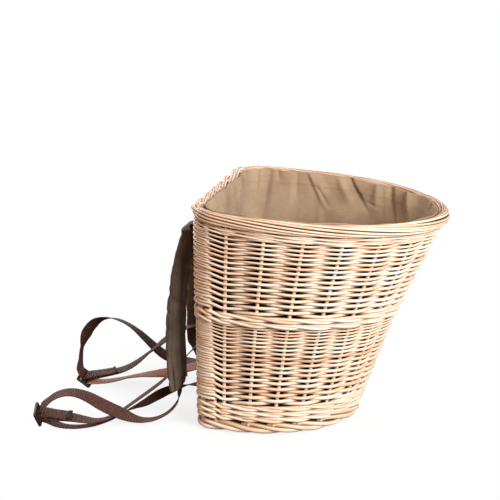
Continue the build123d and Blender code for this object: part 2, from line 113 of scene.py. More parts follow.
left_front = [
    ((-48, -95, 57.5), EVEN), ((-47, -95, 43), EVEN), ((-50, -101, 27), 0.10), ((-62, -114, 12), 0.10),
    ((-79, -129, 5), 0.10), ((-98, -143, 5), 0.20), ((-118, -158, 14), 0.52), ((-145, -158, 23), 0.80),
    ((-174, -152, 31), 0.77), ((-200, -152, 44), 0.62), ((-224, -162, 54), 0.47), ((-243, -176, 54), 0.41),
    ((-257, -187, 46), 0.36),
] + through(LEFT_SLIDER, (15, 12), (7, 5), (5.6, 0), (3, -3.4), (-1, -3.6))
left_return = through(LEFT_SLIDER, (0, -4.4), (-4.2, -2.6), (-4.6, 1), (-5, 6)) + [
    ((-256, -190.5, 16.5), -0.50), ((-239, -188, 16.5), -0.52), ((-218, -184.5, 16), -0.50),
    ((-193, -183, 12.5), -0.36), ((-170, -173, 9.5), -0.14), ((-153, -144, 9.5), -0.09),
    ((-143, -106, 11), -0.09), ((-129, -77, 18), -0.14), ((-111, -59, 30), -0.15), ((-90, -49, 47), -0.12),
    ((-69, -46, 70), EVEN), ((-48, -45, 96), EVEN), ((-28, -45, 118), EVEN), ((-9.8, -45, 130), EVEN),
]
left_tail = through(LEFT_SLIDER, (2, -3.4), (4.2, -1), (4.6, 3), (4, 9)) + [
    ((-251, -190, 22.5), -0.50), ((-238, -188, 20.2), -0.52), ((-218, -184.5, 18.4), -0.50),
]
left_lower = through(LEFT_SLIDER, (-3, -3.4), (-6.6, -2), (-7.4, 2), (-9, 7)) + [
    ((-252, -195, 8.5), -0.32), ((-232, -201, 5), -0.20), ((-207, -197, 3.5), -0.14),
    ((-181, -182, 3), -0.12), ((-160, -158, 3), -0.08), ((-146, -126, 4), 0.05), ((-131, -98, 7), 0.26),
    ((-114, -76, 13), 0.62), ((-95, -61, 23), 0.72), ((-73, -53, 33), 0.60), ((-49, -48, 40), 0.15),
    ((-28, -45.5, 43), EVEN), ((-9.8, -45, 44), EVEN),
]
right_front = [
    ((-48, 95, 57.5), EVEN), ((-49, 95, 45.5), EVEN), ((-57, 95, 35), EVEN), ((-70, 95, 30), EVEN),
    ((-89, 94, 30.5), 0.45), ((-109, 92, 32), 0.60), ((-131, 88, 39), 0.64), ((-152, 84, 57), 0.52),
    ((-173, 79, 80), 0.37), ((-196, 72, 102), 0.14), ((-219, 64, 115), 0.05), ((-241, 55, 118), -0.22),
    ((-259, 45, 110), -0.66), ((-271, 35, 92), -0.74), ((-277, 25, 67), -0.10), ((-275.5, 14, 45), -0.16),
] + through(RIGHT_SLIDER, (16, 7), (8, 4), (5.6, 0), (3, -3.4), (-1, -3.6))
right_return = through(RIGHT_SLIDER, (0, -4.4), (-4.2, -2.6), (-4.6, 1), (-6, 6)) + [
    ((-244, 4, 19), -0.40), ((-227, 13.5, 21.5), -0.40), ((-208, 25, 24), -0.40), ((-191, 36, 28), -0.37),
    ((-170, 44, 41), -0.29), ((-148, 47, 61), -0.12), ((-124, 47, 83), -0.34), ((-98, 46, 103), -0.36),
    ((-70, 45.5, 118), EVEN), ((-39, 45, 127), EVEN), ((-9.8, 45, 130), EVEN),
]
right_tail = through(RIGHT_SLIDER, (2, -3.4), (4.2, -1), (4.4, 3), (1, 9)) + [
    ((-243, 4, 24.5), -0.40), ((-227, 13.5, 24.6), -0.40), ((-208, 25, 26.4), -0.40),
]
right_lower = through(RIGHT_SLIDER, (-3, -3.4), (-6.6, -2), (-7.4, 1), (-10, 4)) + [
    ((-237, 6, 7.5), -0.25), ((-217, 21, 6), -0.20), ((-193, 36, 9), -0.08), ((-168, 44, 13), -0.20),
    ((-142, 47.5, 17), -0.42), ((-116, 48.5, 21), -0.62), ((-91, 48, 28), -0.60), ((-66, 46.5, 38), -0.52),
    ((-38, 45.3, 43), EVEN), ((-9.8, 45, 44), EVEN),
]
routes = (left_front, left_return, left_tail, left_lower, right_front, right_return, right_tail, right_lower)
print("points of the routes", [len(route) for route in routes])

# %% A smooth line through a route
SPLINE_STEPS = 10


def ways_of(route):
    """The directions of a ribbon's width at a route's points, with no flip between neighbours."""
    spots = [Vector(spot) for spot, _ in route]
    ways = []
    for i, (_, way) in enumerate(route):
        if isinstance(way, float):
            ahead = (spots[min(i + 1, len(spots) - 1)] - spots[max(i - 1, 0)]).normalized()
            seen = to_camera.cross(ahead).normalized()
            way = seen * way + ahead.cross(seen) * sqrt(1 - way * way)
        way = Vector(way).normalized()
        ways.append(-way if ways and way.dot(ways[-1]) < 0 else way)
    return np.array(ways)


def smooth_line(route):
    """Points and width directions along the spline that has a route's points as its controls."""
    curve = bpy.data.curves.new("route", "CURVE")
    curve.dimensions = "3D"
    curve.resolution_u = SPLINE_STEPS
    spline = curve.splines.new("NURBS")
    spline.points.add(len(route) - 1)
    for point, (spot, _) in zip(spline.points, route):
        point.co = (*(Vector(spot) * MM), 1)
    spline.order_u = 3
    spline.use_endpoint_u = True
    holder = bpy.data.objects.new("route", curve)
    mesh = bpy.data.meshes.new_from_object(holder)
    line = np.array([v.co for v in mesh.vertices])
    bpy.data.objects.remove(holder)
    bpy.data.curves.remove(curve)
    bpy.data.meshes.remove(mesh)
    last = len(route) - 2
    peaks = [0] + [i - 0.5 for i in range(1, len(route) - 1)] + [last]
    places = np.linspace(0, last, len(line))
    ways = ways_of(route)
    across = np.stack([np.interp(places, peaks, ways[:, k]) for k in range(3)], 1)
    return line, across


def distances(line):
    """How far along a line each of its points lies."""
    return np.concatenate([[0], np.cumsum(np.linalg.norm(np.diff(line, axis=0), axis=1))])


def line_length(line):
    return float(distances(line)[-1])


print("left return run", round(line_length(smooth_line(left_return)[0]), 3), "m")

# %% [markdown]
# ## Pieces from rows of points
# A ribbon and a rod are both a cross-section carried along a line. Doing this in mesh code
# rather than with a curve's bevel gives three things that the finishes need: a map that knows
# how far along and how far across a point is, one number for each rod's own tint, and one for
# how deep in the weave a point lies.

# %% A mesh from points
def unit(vectors):
    return vectors / np.maximum(np.linalg.norm(vectors, axis=-1, keepdims=True), 1e-12)


def mesh_piece(name, points, faces, maps, tints, depths, smooth=True):
    """A new object from points and faces, with a UV map, and a tint and a depth for each point."""
    mesh = bpy.data.meshes.new(name)
    mesh.from_pydata(points, [], faces)
    mesh.uv_layers.new(name="UVMap").data.foreach_set("uv", np.asarray(maps, np.float32).ravel())
    for key, values in (("tint", tints), ("depth", depths)):
        mesh.attributes.new(key, "FLOAT", "POINT").data.foreach_set("value", np.asarray(values, np.float32))
    if smooth:
        mesh.polygons.foreach_set("use_smooth", np.ones(len(faces), bool))
    mesh.validate()
    mesh.update()
    piece = bpy.data.objects.new(name, mesh)
    scene.collection.objects.link(piece)
    return piece


# %% Carry a cross-section along lines
def carry(sections, start):
    """Points, faces and map of one closed tube through sections, with flat capped ends."""
    count, sides, _ = sections.shape
    middles = sections.mean(axis=1)
    along = distances(middles)
    points = np.concatenate([sections.reshape(-1, 3), middles[[0, -1]]])
    near, far = count * sides, count * sides + 1
    faces, maps = [], []
    for i in range(count - 1):
        for j in range(sides):
            k = (j + 1) % sides
            a, b = i * sides, (i + 1) * sides
            faces.append((start + a + j, start + a + k, start + b + k, start + b + j))
            u, w = j / sides, (j + 1) / sides
            maps += [(u, along[i]), (w, along[i]), (w, along[i + 1]), (u, along[i + 1])]
    for j in range(sides):
        k = (j + 1) % sides
        faces.append((start + near, start + k, start + j))
        b = (count - 1) * sides
        faces.append((start + far, start + b + j, start + b + k))
        maps += [(0.5, along[0])] * 3 + [(0.5, along[-1])] * 3
    return points, faces, maps


def piece_from(name, tubes, smooth=True):
    """One object from many tubes, each given as its sections, its tint and the depth of each section."""
    points, faces, maps, tints, depths, start = [], [], [], [], [], 0
    for sections, tint, *rest in tubes:
        deep = rest[0] if rest else np.full(len(sections), 0.5)
        p, f, m = carry(sections, start)
        points.append(p)
        faces += f
        maps += m
        tints.append(np.full(len(p), tint))
        depths.append(np.concatenate([np.repeat(deep, sections.shape[1]), deep[[0, -1]]]))
        start += len(p)
    return mesh_piece(name, np.concatenate(points), faces, maps, np.concatenate(tints),
                      np.concatenate(depths), smooth)


# %% A ribbon of webbing
WEB_WIDTH, WEB_THICK = 0.025, 0.0015
UPPER_FACE = [(-0.5, 0.3), (-0.48, 0.5), (-0.25, 0.5), (0, 0.5), (0.25, 0.5), (0.48, 0.5), (0.5, 0.3)]
RIBBON_EDGE = np.array(UPPER_FACE + [(-x, -y) for x, y in UPPER_FACE])


def ribbon_sections(line, across, width=WEB_WIDTH):
    """Flat sections that face along a line, each with its width on the given direction."""
    ahead = unit(np.gradient(line, axis=0))
    across = unit(across - ahead * (across * ahead).sum(1, keepdims=True))
    up = np.cross(ahead, across)
    return (line[:, None] + across[:, None] * RIBBON_EDGE[None, :, :1] * width
            + up[:, None] * RIBBON_EDGE[None, :, 1:] * WEB_THICK)


def ribbon(name, line, across, tint=0.0, width=WEB_WIDTH):
    return piece_from(name, [(ribbon_sections(line, across, width), tint)])


print("webbing", WEB_WIDTH, "m wide,", len(RIBBON_EDGE), "points in a section")

# %% [markdown]
# ## The webbing between the moving bodies
# Three runs meet at each slider. The front run comes from a pad, so it crosses two joints:
# it is made as two pieces that meet, one for each joint. The other runs go from the slider
# back into the wall, low down.

# %% Runs of webbing
# The right lower run lies in the basket's shadow, so light is painted on it as a lighter colour.
PAINTED_LIGHT_TINT = -0.8
webbing_pieces, webbing_lines = [], {}


def evened(values):
    """The same values, each the mean of itself and of three neighbours on either side."""
    return np.convolve(np.pad(values, 3, mode="edge"), np.ones(7) / 7, "valid")


def off_floor(line, across):
    """The same line, lifted where an edge of its ribbon would be under the floor."""
    least = WEB_WIDTH / 2 * np.abs(unit(across)[:, 2]) + WEB_THICK
    lift = evened(np.maximum(least - line[:, 2], 0))
    return np.column_stack([line[:, :2], np.maximum(line[:, 2] + lift, least)])


def bend_between(piece, first, second, start, end, *nodes):
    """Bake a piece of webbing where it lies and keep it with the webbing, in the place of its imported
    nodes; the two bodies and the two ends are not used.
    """
    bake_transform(piece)
    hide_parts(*nodes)
    webbing_pieces.append(piece)


def webbing_run(name, line, across, first, second, *nodes, tint=0.0):
    """A run of webbing between two bodies, kept with its line for later."""
    line = off_floor(line, across)
    piece = ribbon(name, line, across, tint)
    bend_between(piece, first, second, line[0], line[-1], *nodes)
    webbing_lines[name] = (piece, line)
    print(name, "length", round(line_length(line), 3))


for side, front, back, low, lower_tint in (("left", left_front, left_return, left_lower, 0.0),
                                           ("right", right_front, right_return, right_lower, PAINTED_LIGHT_TINT)):
    pad_name, slide_name = f"{side}_pad", f"{side}_slide"
    line, across = smooth_line(front)
    far = distances(line)
    cut = int(np.argmin(abs(far - far[-1] / 2)))
    webbing_run(f"{side}_front_upper", line[:cut + 1], across[:cut + 1], pad_name, "basket",
                f"{side}_strap_front")
    webbing_run(f"{side}_front_lower", line[cut:], across[cut:], "basket", slide_name)
    for run, route, tint in (("return", back, 0.0), ("lower", low, lower_tint)):
        line, across = smooth_line(route)
        webbing_run(f"{side}_{run}_run", line[::-1], across[::-1], "basket", slide_name,
                    f"{side}_strap_{run}", tint=tint)

# %% [markdown]
# ## The basket's plan
# The wall stands on a line with a flat back, two rounded corners, bowed sides and an oval
# front. The line grows from foot to rim, and the rows tip down a little towards the front.
# All woven pieces follow this one line, so it is worked out once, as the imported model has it.

# %% The plan at any height
PLAN_HEIGHTS = (0.0, 0.217, 0.390)
PLANS = np.array([(3, 140, 2, 73, 244, 20), (1, 157, 12, 100, 319, 40), (0, 170, 22, 123, 394, 60)]) * MM
RIM_FALL, WALL_POINTS = 0.058, 1200
RIM_Z, MID_Z = PLAN_HEIGHTS[2], PLAN_HEIGHTS[1]


def between(z, heights, values):
    """Values at a height, worked out from those at three heights."""
    low = 0 if z <= heights[1] else 1
    share = (z - heights[low]) / (heights[low + 1] - heights[low])
    return values[low] + (values[low + 1] - values[low]) * share


def plan_at(z):
    """Back, half back, bow, widest place, depth and corner radius at a height."""
    return between(z, PLAN_HEIGHTS, PLANS)


def fall_at(z):
    """How far a row at a height tips down for each metre towards the front."""
    return RIM_FALL * z / RIM_Z


def evenly(points, count):
    """The same open line with points at even distances."""
    far = distances(points)
    places = np.linspace(0, far[-1], count)
    return np.stack([np.interp(places, far, points[:, k]) for k in range(points.shape[1])], 1)


print("plan at the middle in mm", [round(size / MM, 1) for size in plan_at(MID_Z)])

# %% The wall's line at a height
def side_radius(z):
    """The radius of a side's bow."""
    back_x, _, bow, wide_x, _, _ = plan_at(z)
    return ((wide_x - back_x)**2 + bow**2) / (2 * bow)


def front_oval(z, count):
    """Points on the oval front, from the widest place to the middle."""
    _, half_back, bow, wide_x, depth, _ = plan_at(z)
    turn = np.linspace(pi / 2, 0, count)
    return np.stack([wide_x + (depth - wide_x) * np.cos(turn), (half_back + bow) * np.sin(turn)], 1)


def wall_line(z):
    """The closed line at a height, from the middle of the back round by the wearer's right."""
    back_x, half_back, bow, wide_x, _, corner = plan_at(z)
    side_r = side_radius(z)
    side_y = half_back + bow - side_r
    corner_x = back_x + corner
    corner_y = side_y + sqrt((side_r - corner)**2 - (wide_x - corner_x)**2)
    touch = atan2(corner_y - side_y, corner_x - wide_x)
    turns = np.linspace(pi, touch, 40)
    sweep = np.linspace(touch, pi / 2, 40)
    half = np.concatenate([
        [(back_x, 0.0)],
        np.stack([corner_x + corner * np.cos(turns), corner_y + corner * np.sin(turns)], 1),
        np.stack([wide_x + side_r * np.cos(sweep), side_y + side_r * np.sin(sweep)], 1)[1:],
        front_oval(z, 200)[1:]])
    return evenly(np.concatenate([half, half[-2::-1] * (1, -1)]), WALL_POINTS + 1)


def on_line(line, share):
    """Places and outward directions at shares of a closed line."""
    count = len(line) - 1
    place = (np.asarray(share) % 1.0) * count
    low = np.floor(place).astype(int) % count
    rest = (place - np.floor(place))[..., None]
    spot = line[low] * (1 - rest) + line[low + 1] * rest
    ahead = unit(line[(low + 3) % count] - line[(low - 2) % count])
    return spot, np.stack([-ahead[..., 1], ahead[..., 0]], -1)


for label, z in (("rim", RIM_Z), ("foot", 0.0)):
    print(label, "line", round(line_length(wall_line(z)), 3), "m")

# %% Places of the uprights
SIDE_STAKES, BACK_STAKE_Y, CORNER_REACH, STAKE_FOOT = 14, 0.070, 0.025, 0.006
STAKE_R, POST_R = 0.003, 0.005
UPRIGHT_HEIGHTS = (STAKE_FOOT, MID_Z, RIM_Z)
SIDE_POINTS = 3000


def side_direction(z):
    """The angle at which a side leaves its back corner."""
    back_x, _, bow, wide_x, _, _ = plan_at(z)
    run = wide_x - back_x
    return asin(2 * run * bow / (run**2 + bow**2))


def side_stake(z, share):
    """A side stake's place, by its share of the way from the back corner to the front."""
    _, half_back, bow, wide_x, _, _ = plan_at(z)
    side_r = side_radius(z)
    turn = side_direction(z) * np.linspace(1, 0, 120, endpoint=False)
    side = np.stack([wide_x - side_r * np.sin(turn), half_back + bow - side_r * (1 - np.cos(turn))], 1)
    points = evenly(np.concatenate([side, front_oval(z, 121)]), SIDE_POINTS + 1)
    return points[round(share * SIDE_POINTS)]


def corner_walk(z, distance):
    """The place a distance along the wall from the middle of a rounded back corner."""
    back_x, half_back, _, _, _, corner = plan_at(z)
    side = side_direction(z)
    half_turn = (pi / 2 - side) / 2
    bend = min(distance / corner, half_turn)
    straight = distance - bend * corner
    heading = half_turn + bend
    centre_y = half_back - corner * np.tan(half_turn)
    return np.array((back_x + corner * (1 - cos(heading)) + straight * cos(side),
                     centre_y + corner * sin(heading) + straight * sin(side)))


def uprights_at(z):
    """The places of all uprights in order round the wall, as they stand at one of three heights."""
    right = [(plan_at(z)[0], BACK_STAKE_Y), corner_walk(z, 0), corner_walk(z, CORNER_REACH)]
    right += [side_stake(z, k / (SIDE_STAKES / 2 + 0.5)) for k in range(1, SIDE_STAKES // 2 + 1)]
    right = np.array(right)
    return np.concatenate([[(plan_at(z)[0], 0.0)], right, right[::-1] * (1, -1)])


# %% All uprights of the wall
UPRIGHTS = [uprights_at(z) for z in UPRIGHT_HEIGHTS]
UPRIGHT_COUNT = len(UPRIGHTS[0])
IS_POST = np.isin(np.arange(UPRIGHT_COUNT), (2, UPRIGHT_COUNT - 2))
ROUNDED = np.isin(np.arange(UPRIGHT_COUNT), (2, 3, UPRIGHT_COUNT - 3, UPRIGHT_COUNT - 2))


def upright_shares(z, line):
    """Where each upright stands on the closed line at a height, as shares of its length."""
    spots = between(z, UPRIGHT_HEIGHTS, UPRIGHTS)
    gaps = np.linalg.norm(line[None, :-1] - spots[:, None], axis=2)
    shares = gaps.argmin(1) / (len(line) - 1)
    shares[0] = 0.0
    return shares


print(UPRIGHT_COUNT, "uprights,", IS_POST.sum(), "of them corner posts")

# %% [markdown]
# ## Weaving the wall
# The siding is randing: one rod at a time goes in front of one stake and behind the next,
# and the row above does the opposite. A rod hugs each stake and runs straight between them,
# so dark wedges open beside the stakes. The number of stakes is odd, so one long spiral
# swaps sides by itself at each turn, which is how such a wall is really woven.

# %% Rods from a path
RODS = np.random.default_rng(41)
ROD_SIDES, ROD_STEP, ROD_TAPER, ROD_BEND = 7, 0.0058, 0.10, 0.2
# The points of a path crowd towards the stakes. Beside a corner a rod dives at once behind its stake.
CROWDING, CORNER_DIVE = 0.09, 0.14


def rod_sections(path, radii):
    """Round sections along a path that lies mostly level."""
    ahead = unit(np.gradient(path, axis=0))
    side = unit(np.cross(ahead, (0.0, 0.0, 1.0)))
    up = np.cross(side, ahead)
    turns = np.arange(ROD_SIDES) * 2 * pi / ROD_SIDES
    return (path[:, None] + (side[:, None] * np.cos(turns)[None, :, None]
                             + up[:, None] * np.sin(turns)[None, :, None]) * radii[:, None, None])


def eased(t):
    """A share that starts and ends gently and is straight between."""
    rise = 1 / (1 - ROD_BEND)
    start = rise * t**2 / (2 * ROD_BEND)
    end = 1 - rise * (1 - t)**2 / (2 * ROD_BEND)
    middle = rise * (t - ROD_BEND / 2)
    return np.where(t < ROD_BEND, start, np.where(t > 1 - ROD_BEND, end, middle))


# %% A woven path
def woven_path(rows, offsets, lifts):
    """A path that spirals up through rows, passing each upright at an offset and a lift.

    rows holds the heights where the turns start, one more than there are turns. offsets and
    lifts hold one number for each upright of each turn, and one more to end on. The path comes
    with the places of its uprights, and with its depth, from 0 outside to 1 inside the stakes.
    """
    lines = [wall_line(z) for z in rows]
    shares = [upright_shares(z, line) for z, line in zip(rows, lines)]
    stops = []
    for k, (low, high) in enumerate(zip(shares, shares[1:])):
        stops += list(k + (low * (1 - low) + high * low))
    stops.append(len(rows) - 1)
    path, knots, depth = [], [0], []
    for n in range(len(stops) - 1):
        turn, here = divmod(n, UPRIGHT_COUNT)
        after = (here + 1) % UPRIGHT_COUNT
        gap = (stops[n + 1] - stops[n]) * line_length(lines[turn])
        t = np.linspace(0, 1, max(6, round(gap / ROD_STEP)) + 1)
        t = t - CROWDING * np.sin(2 * pi * t)
        if n < len(stops) - 2:
            t = t[:-1]
        share = stops[n] + (stops[n + 1] - stops[n]) * t
        part = (share - turn)[:, None]
        low, out_low = on_line(lines[turn], share)
        high, out_high = on_line(lines[turn + 1], share)
        spot = low * (1 - part) + high * part
        out = unit(out_low * (1 - part) + out_high * part)
        sway = eased(t)
        if ROUNDED[here] and not ROUNDED[after] and offsets[n + 1] < 0:
            sway = sway**CORNER_DIVE
        elif ROUNDED[after] and not ROUNDED[here] and offsets[n] < 0:
            sway = 1 - (1 - sway)**CORNER_DIVE
        off = offsets[n] + (offsets[n + 1] - offsets[n]) * sway
        lift = lifts[n] + (lifts[n + 1] - lifts[n]) * t**2 * (3 - 2 * t)
        z = rows[turn] * (1 - part[:, 0]) + rows[turn + 1] * part[:, 0]
        spot = spot + out * off[:, None]
        path.append(np.column_stack([spot, z + lift - fall_at(z) * spot[:, 0]]))
        knots.append(knots[-1] + len(t))
        depth.append(0.5 + 0.5 * off / offsets.min())
    return np.concatenate(path), knots, np.concatenate(depth)


# %% Cut a path into rods
def cut_rods(path, radii, knots, depth, offsets, shortest, longest):
    """The path as separate rods, each with its own tint, cut where it passes behind a stake."""
    behind = [n for n in range(1, len(knots) - 1) if offsets[n] < 0]
    rods, start, last = [], 0, 0
    while start < len(path) - 1:
        wanted = last + RODS.integers(shortest, longest + 1)
        later = [n for n in behind if n >= wanted]
        last = later[0] if later else len(knots) - 1
        stop = knots[last] if later else len(path) - 1
        shape = 1 + ROD_TAPER * np.linspace(0.5, -0.5, stop + 1 - start)
        tint = RODS.normal(0, 1)
        here = slice(start, stop + 1)
        rods.append((rod_sections(path[here], radii[here] * shape), tint, depth[here]))
        start = stop
    return rods


# %% A piece of willow
WEAVE_PIECES = []


def ride_on(piece, body, slot, *nodes):
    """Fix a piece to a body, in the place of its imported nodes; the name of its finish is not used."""
    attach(piece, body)
    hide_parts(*nodes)


def woven(name, rods, node):
    """One piece of many rods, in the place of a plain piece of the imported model."""
    piece = piece_from(name, rods)
    ride_on(piece, "basket", "willow", node)
    WEAVE_PIECES.append(piece)
    print(name, "rods", len(rods), "faces", len(piece.data.polygons))


# %% Rows and corners of the siding
# Lower and upper edges of the three wales. The siding lies between them.
UPSETT_LOW, UPSETT_TOP, MID_LOW, MID_TOP, TOP_LOW, TOP_TOP = 0.024, 0.056, 0.206, 0.228, 0.366, 0.378
# Rods fill more of their row towards the front, and swell a little between two stakes.
FULLNESS_X, ROD_FULLNESS, ROD_SWELL = (0.12, 0.28), (0.92, 1.10), 0.20
# At and beside a rounded corner a rod is lifted or sinks by a share of its row, and changes its size.
CORNER_LIFT, FRONT_LIFT, BEHIND_LIFT = 0.4, -0.5, -0.9
POST_SIZE, CORNER_SIZE, BESIDE_SIZE = 1.15, 0.98, 0.86
# Nothing is quite even: the offset in metres, the lift as a share of the row, and the size.
UNEVEN_OFFSET, UNEVEN_LIFT, UNEVEN_SIZE = 0.00025, 0.08, 0.05
# How many stakes a rod passes, at least and at most.
SIDING_RODS = (4, 9)


def row_heights(bottom, top, first_pitch, last_pitch):
    """Heights of the turns of a spiral whose rods grow thinner from bottom to top."""
    count = round((top - bottom) * 2 / (first_pitch + last_pitch))
    pitches = np.linspace(first_pitch, last_pitch, count)
    pitches *= (top - bottom) / pitches.sum()
    return bottom + np.concatenate([[0], np.cumsum(pitches)]), pitches


def near_corner(i, in_front):
    """A rod's lift at an upright and its size there, which differ at and beside a corner."""
    if ROUNDED[i]:
        return CORNER_LIFT, POST_SIZE if IS_POST[i] else CORNER_SIZE
    if ROUNDED[i - 1] or ROUNDED[(i + 1) % UPRIGHT_COUNT]:
        return FRONT_LIFT if in_front else BEHIND_LIFT, BESIDE_SIZE
    return 0, 1


# %% Siding
def siding(name, bottom, top, first_pitch, last_pitch, node):
    """A band of randing."""
    edges, pitches = row_heights(bottom, top, first_pitch, last_pitch)
    crossings = (len(edges) - 1) * UPRIGHT_COUNT + 1
    inner = [i for i in range(UPRIGHT_COUNT) if not ROUNDED[i]]
    offsets, lifts, sizes = np.zeros(crossings), np.zeros(crossings), np.zeros(crossings)
    for n in range(crossings):
        turn, i = divmod(n, UPRIGHT_COUNT)
        pitch = pitches[min(turn, len(pitches) - 1)]
        radius = pitch / 2 * np.interp(UPRIGHTS[1][i][0], FULLNESS_X, ROD_FULLNESS)
        if ROUNDED[i]:
            offsets[n] = (POST_R if IS_POST[i] else STAKE_R) + radius
        else:
            front = (turn * len(inner) + inner.index(i)) % 2 == 0
            offsets[n] = (STAKE_R + radius) * (1 if front else -1)
        offsets[n] += RODS.normal(0, UNEVEN_OFFSET)
        lift, size = near_corner(i, offsets[n] > 0)
        lifts[n] = (RODS.normal(0, UNEVEN_LIFT) + lift) * pitch
        sizes[n] = radius * (1 + RODS.normal(0, UNEVEN_SIZE)) * size
    path, knots, depth = woven_path(edges, offsets, lifts)
    radii = np.interp(np.arange(len(path)), knots, sizes) * (1 + ROD_SWELL * (1 - np.abs(2 * depth - 1)))
    woven(name, cut_rods(path, radii, knots, depth, offsets, *SIDING_RODS), node)


siding("lower_randing", UPSETT_TOP, MID_LOW, 0.0062, 0.0026, "lower_siding")
siding("upper_randing", MID_TOP, TOP_LOW, 0.0058, 0.0037, "upper_siding")

# %% [markdown]
# ## Wales
# A wale is a strong band of three rods woven together: each goes in front of two stakes and
# behind the third, and crosses the other two on its way. At every stake two rods lie in
# front, one above the other, so a wale hides its stakes and reads as long slanting strokes.

# %% Wales at the foot, the middle and the top
# A rod's place at three stakes in turn: behind the first, then in front, first low and then high.
WALE_LIFTS, WALE_FULLNESS, WALE_RODS = np.array((0.0, -0.5, 0.5)), 1.06, (3, 6)
UNEVEN_WALE_ROD, UNEVEN_WALE_OFFSET, UNEVEN_WALE_LIFT, UNEVEN_WALE_SIZE = 0.04, 0.0003, 0.04, 0.03


def wale(name, bottom, top, rounds, node):
    """A band of three-rod wale."""
    thick = (top - bottom) / (2 * rounds)
    rods = []
    for k in range(rounds):
        z = bottom + thick * (2 * k + 1)
        for first in range(3):
            radius = thick / 2 * WALE_FULLNESS * (1 + RODS.normal(0, UNEVEN_WALE_ROD))
            steps = (np.arange(UPRIGHT_COUNT) - first - k) % 3
            reach = np.where(IS_POST, POST_R, STAKE_R) + radius
            offsets = np.where(steps == 0, -STAKE_R - radius, reach)
            offsets += RODS.normal(0, UNEVEN_WALE_OFFSET, UPRIGHT_COUNT)
            lifts = WALE_LIFTS[steps] * thick
            lifts += RODS.normal(0, UNEVEN_WALE_LIFT, UPRIGHT_COUNT) * thick
            offsets, lifts = np.append(offsets, offsets[0]), np.append(lifts, lifts[0])
            path, knots, depth = woven_path([z, z], offsets, lifts)
            sizes = radius * (1 + RODS.normal(0, UNEVEN_WALE_SIZE, len(knots)))
            radii = np.interp(np.arange(len(path)), knots, sizes)
            rods += cut_rods(path, radii, knots, depth, offsets, *WALE_RODS)
    woven(name, rods, node)


wale("upsett_rods", UPSETT_LOW, UPSETT_TOP, 3, "upsett_wale")
wale("middle_wale_rods", MID_LOW, MID_TOP, 2, "mid_wale")
wale("top_wale_rods", TOP_LOW, TOP_TOP, 2, "top_wale")

# %% [markdown]
# ## Borders
# At the rim the stakes are bent over and rolled round each other into a rope that goes right
# round the basket. Each rod goes once over this rope, from one side to the other, while it runs
# on along the rim. On the flat back a second set of rods crosses under the first. The foot
# border is the same idea with fewer and thicker rods.

# %% Rolled borders
ROLL_STEPS, FEWEST_STEPS = 72, 8
# A rod's two tips dive under the others, and the whole rod waves a little.
TIP_DIVE, TIP_LENGTH = 0.34, 0.018
WAVE_HEIGHT, WAVE_LENGTH = 0.03, 0.2
ROLL_TAPER = 0.20
# Nothing is quite even: where a rod starts and where it is seen, as shares of the way round, its
# angle in degrees, how far it stands off and its size.
UNEVEN_START, UNEVEN_SEEN, UNEVEN_ANGLE, UNEVEN_STAND, UNEVEN_ROLL_SIZE = 0.002, 0.004, 4, 0.05, 0.08
# The rod under a border has a darker tint, and a depth deep enough to take the weave's painted shade, which
# makes it nearly black.
CORE_TINT, CORE_SHADE_DEPTH = -1.0, 0.9


def rolled_rods(z, middle, reach, starts, length, radius, angles, shown, tone=-0.5, stand=1.0):
    """Rods that each roll once round a line that goes round the basket.

    starts and shown are shares of the way round: where the rods start, and the part where they
    are seen. angles are a rod's first and last: 0 degrees is outside, 90 on top and 180 inside.
    tone is their mean tint, and stand their share of the reach.
    """
    line = wall_line(z)
    around = line_length(line)
    rods = []
    for start in starts:
        share = start + RODS.normal(0, UNEVEN_START) + length / around * np.linspace(0, 1, ROLL_STEPS)
        first, last = (end + RODS.normal(0, UNEVEN_SEEN) for end in shown)
        seen = (share >= first) & (share <= last)
        if seen.sum() < FEWEST_STEPS:
            continue
        t = np.linspace(0, 1, ROLL_STEPS)[seen]
        spot, out = on_line(line, share[seen])
        turn = np.radians(angles[0] + (angles[1] - angles[0]) * t + RODS.normal(0, UNEVEN_ANGLE))
        ends = np.minimum(t - t[0], t[-1] - t) * length
        dive = stand * (1 - TIP_DIVE * np.clip(1 - ends / TIP_LENGTH, 0, 1))
        bulge = 1 + RODS.normal(0, UNEVEN_STAND)
        wave = dive * (bulge + WAVE_HEIGHT * np.sin(2 * pi * (t * length / WAVE_LENGTH + RODS.random())))
        spot = spot + out * (middle + reach[0] * np.cos(turn) * wave)[:, None]
        height = z + reach[1] * np.sin(turn) * wave
        path = np.column_stack([spot, height - fall_at(z) * spot[:, 0]])
        size = radius * (1 + RODS.normal(0, UNEVEN_ROLL_SIZE)) * (1 + ROLL_TAPER * (0.5 - t))
        rods.append((rod_sections(path, size), RODS.normal(tone, 1)))
    return rods


# %% A whole border
def border_core(z, middle, up, into, radius):
    """A rod under a border, painted nearly black as shade so that the gaps between the strands read dark; it
    stands up and in from the border's middle.
    """
    spot, out = on_line(wall_line(z), np.linspace(0, 1, 241))
    spot = spot + out * (middle - into)
    path = np.column_stack([spot, np.full(len(spot), z + up) - fall_at(z) * spot[:, 0]])
    return rod_sections(path, np.full(len(path), radius)), CORE_TINT, np.full(len(path), CORE_SHADE_DEPTH)


def rolled_border(name, z, middle, reach, bundles, cores, node):
    """A border of bundles of rods. reach is how far they stand off sideways and upwards."""
    rods = [rod for bundle in bundles for rod in rolled_rods(z, middle, reach, **bundle)]
    rods += [border_core(z, middle, *core) for core in cores]
    woven(name, rods, node)


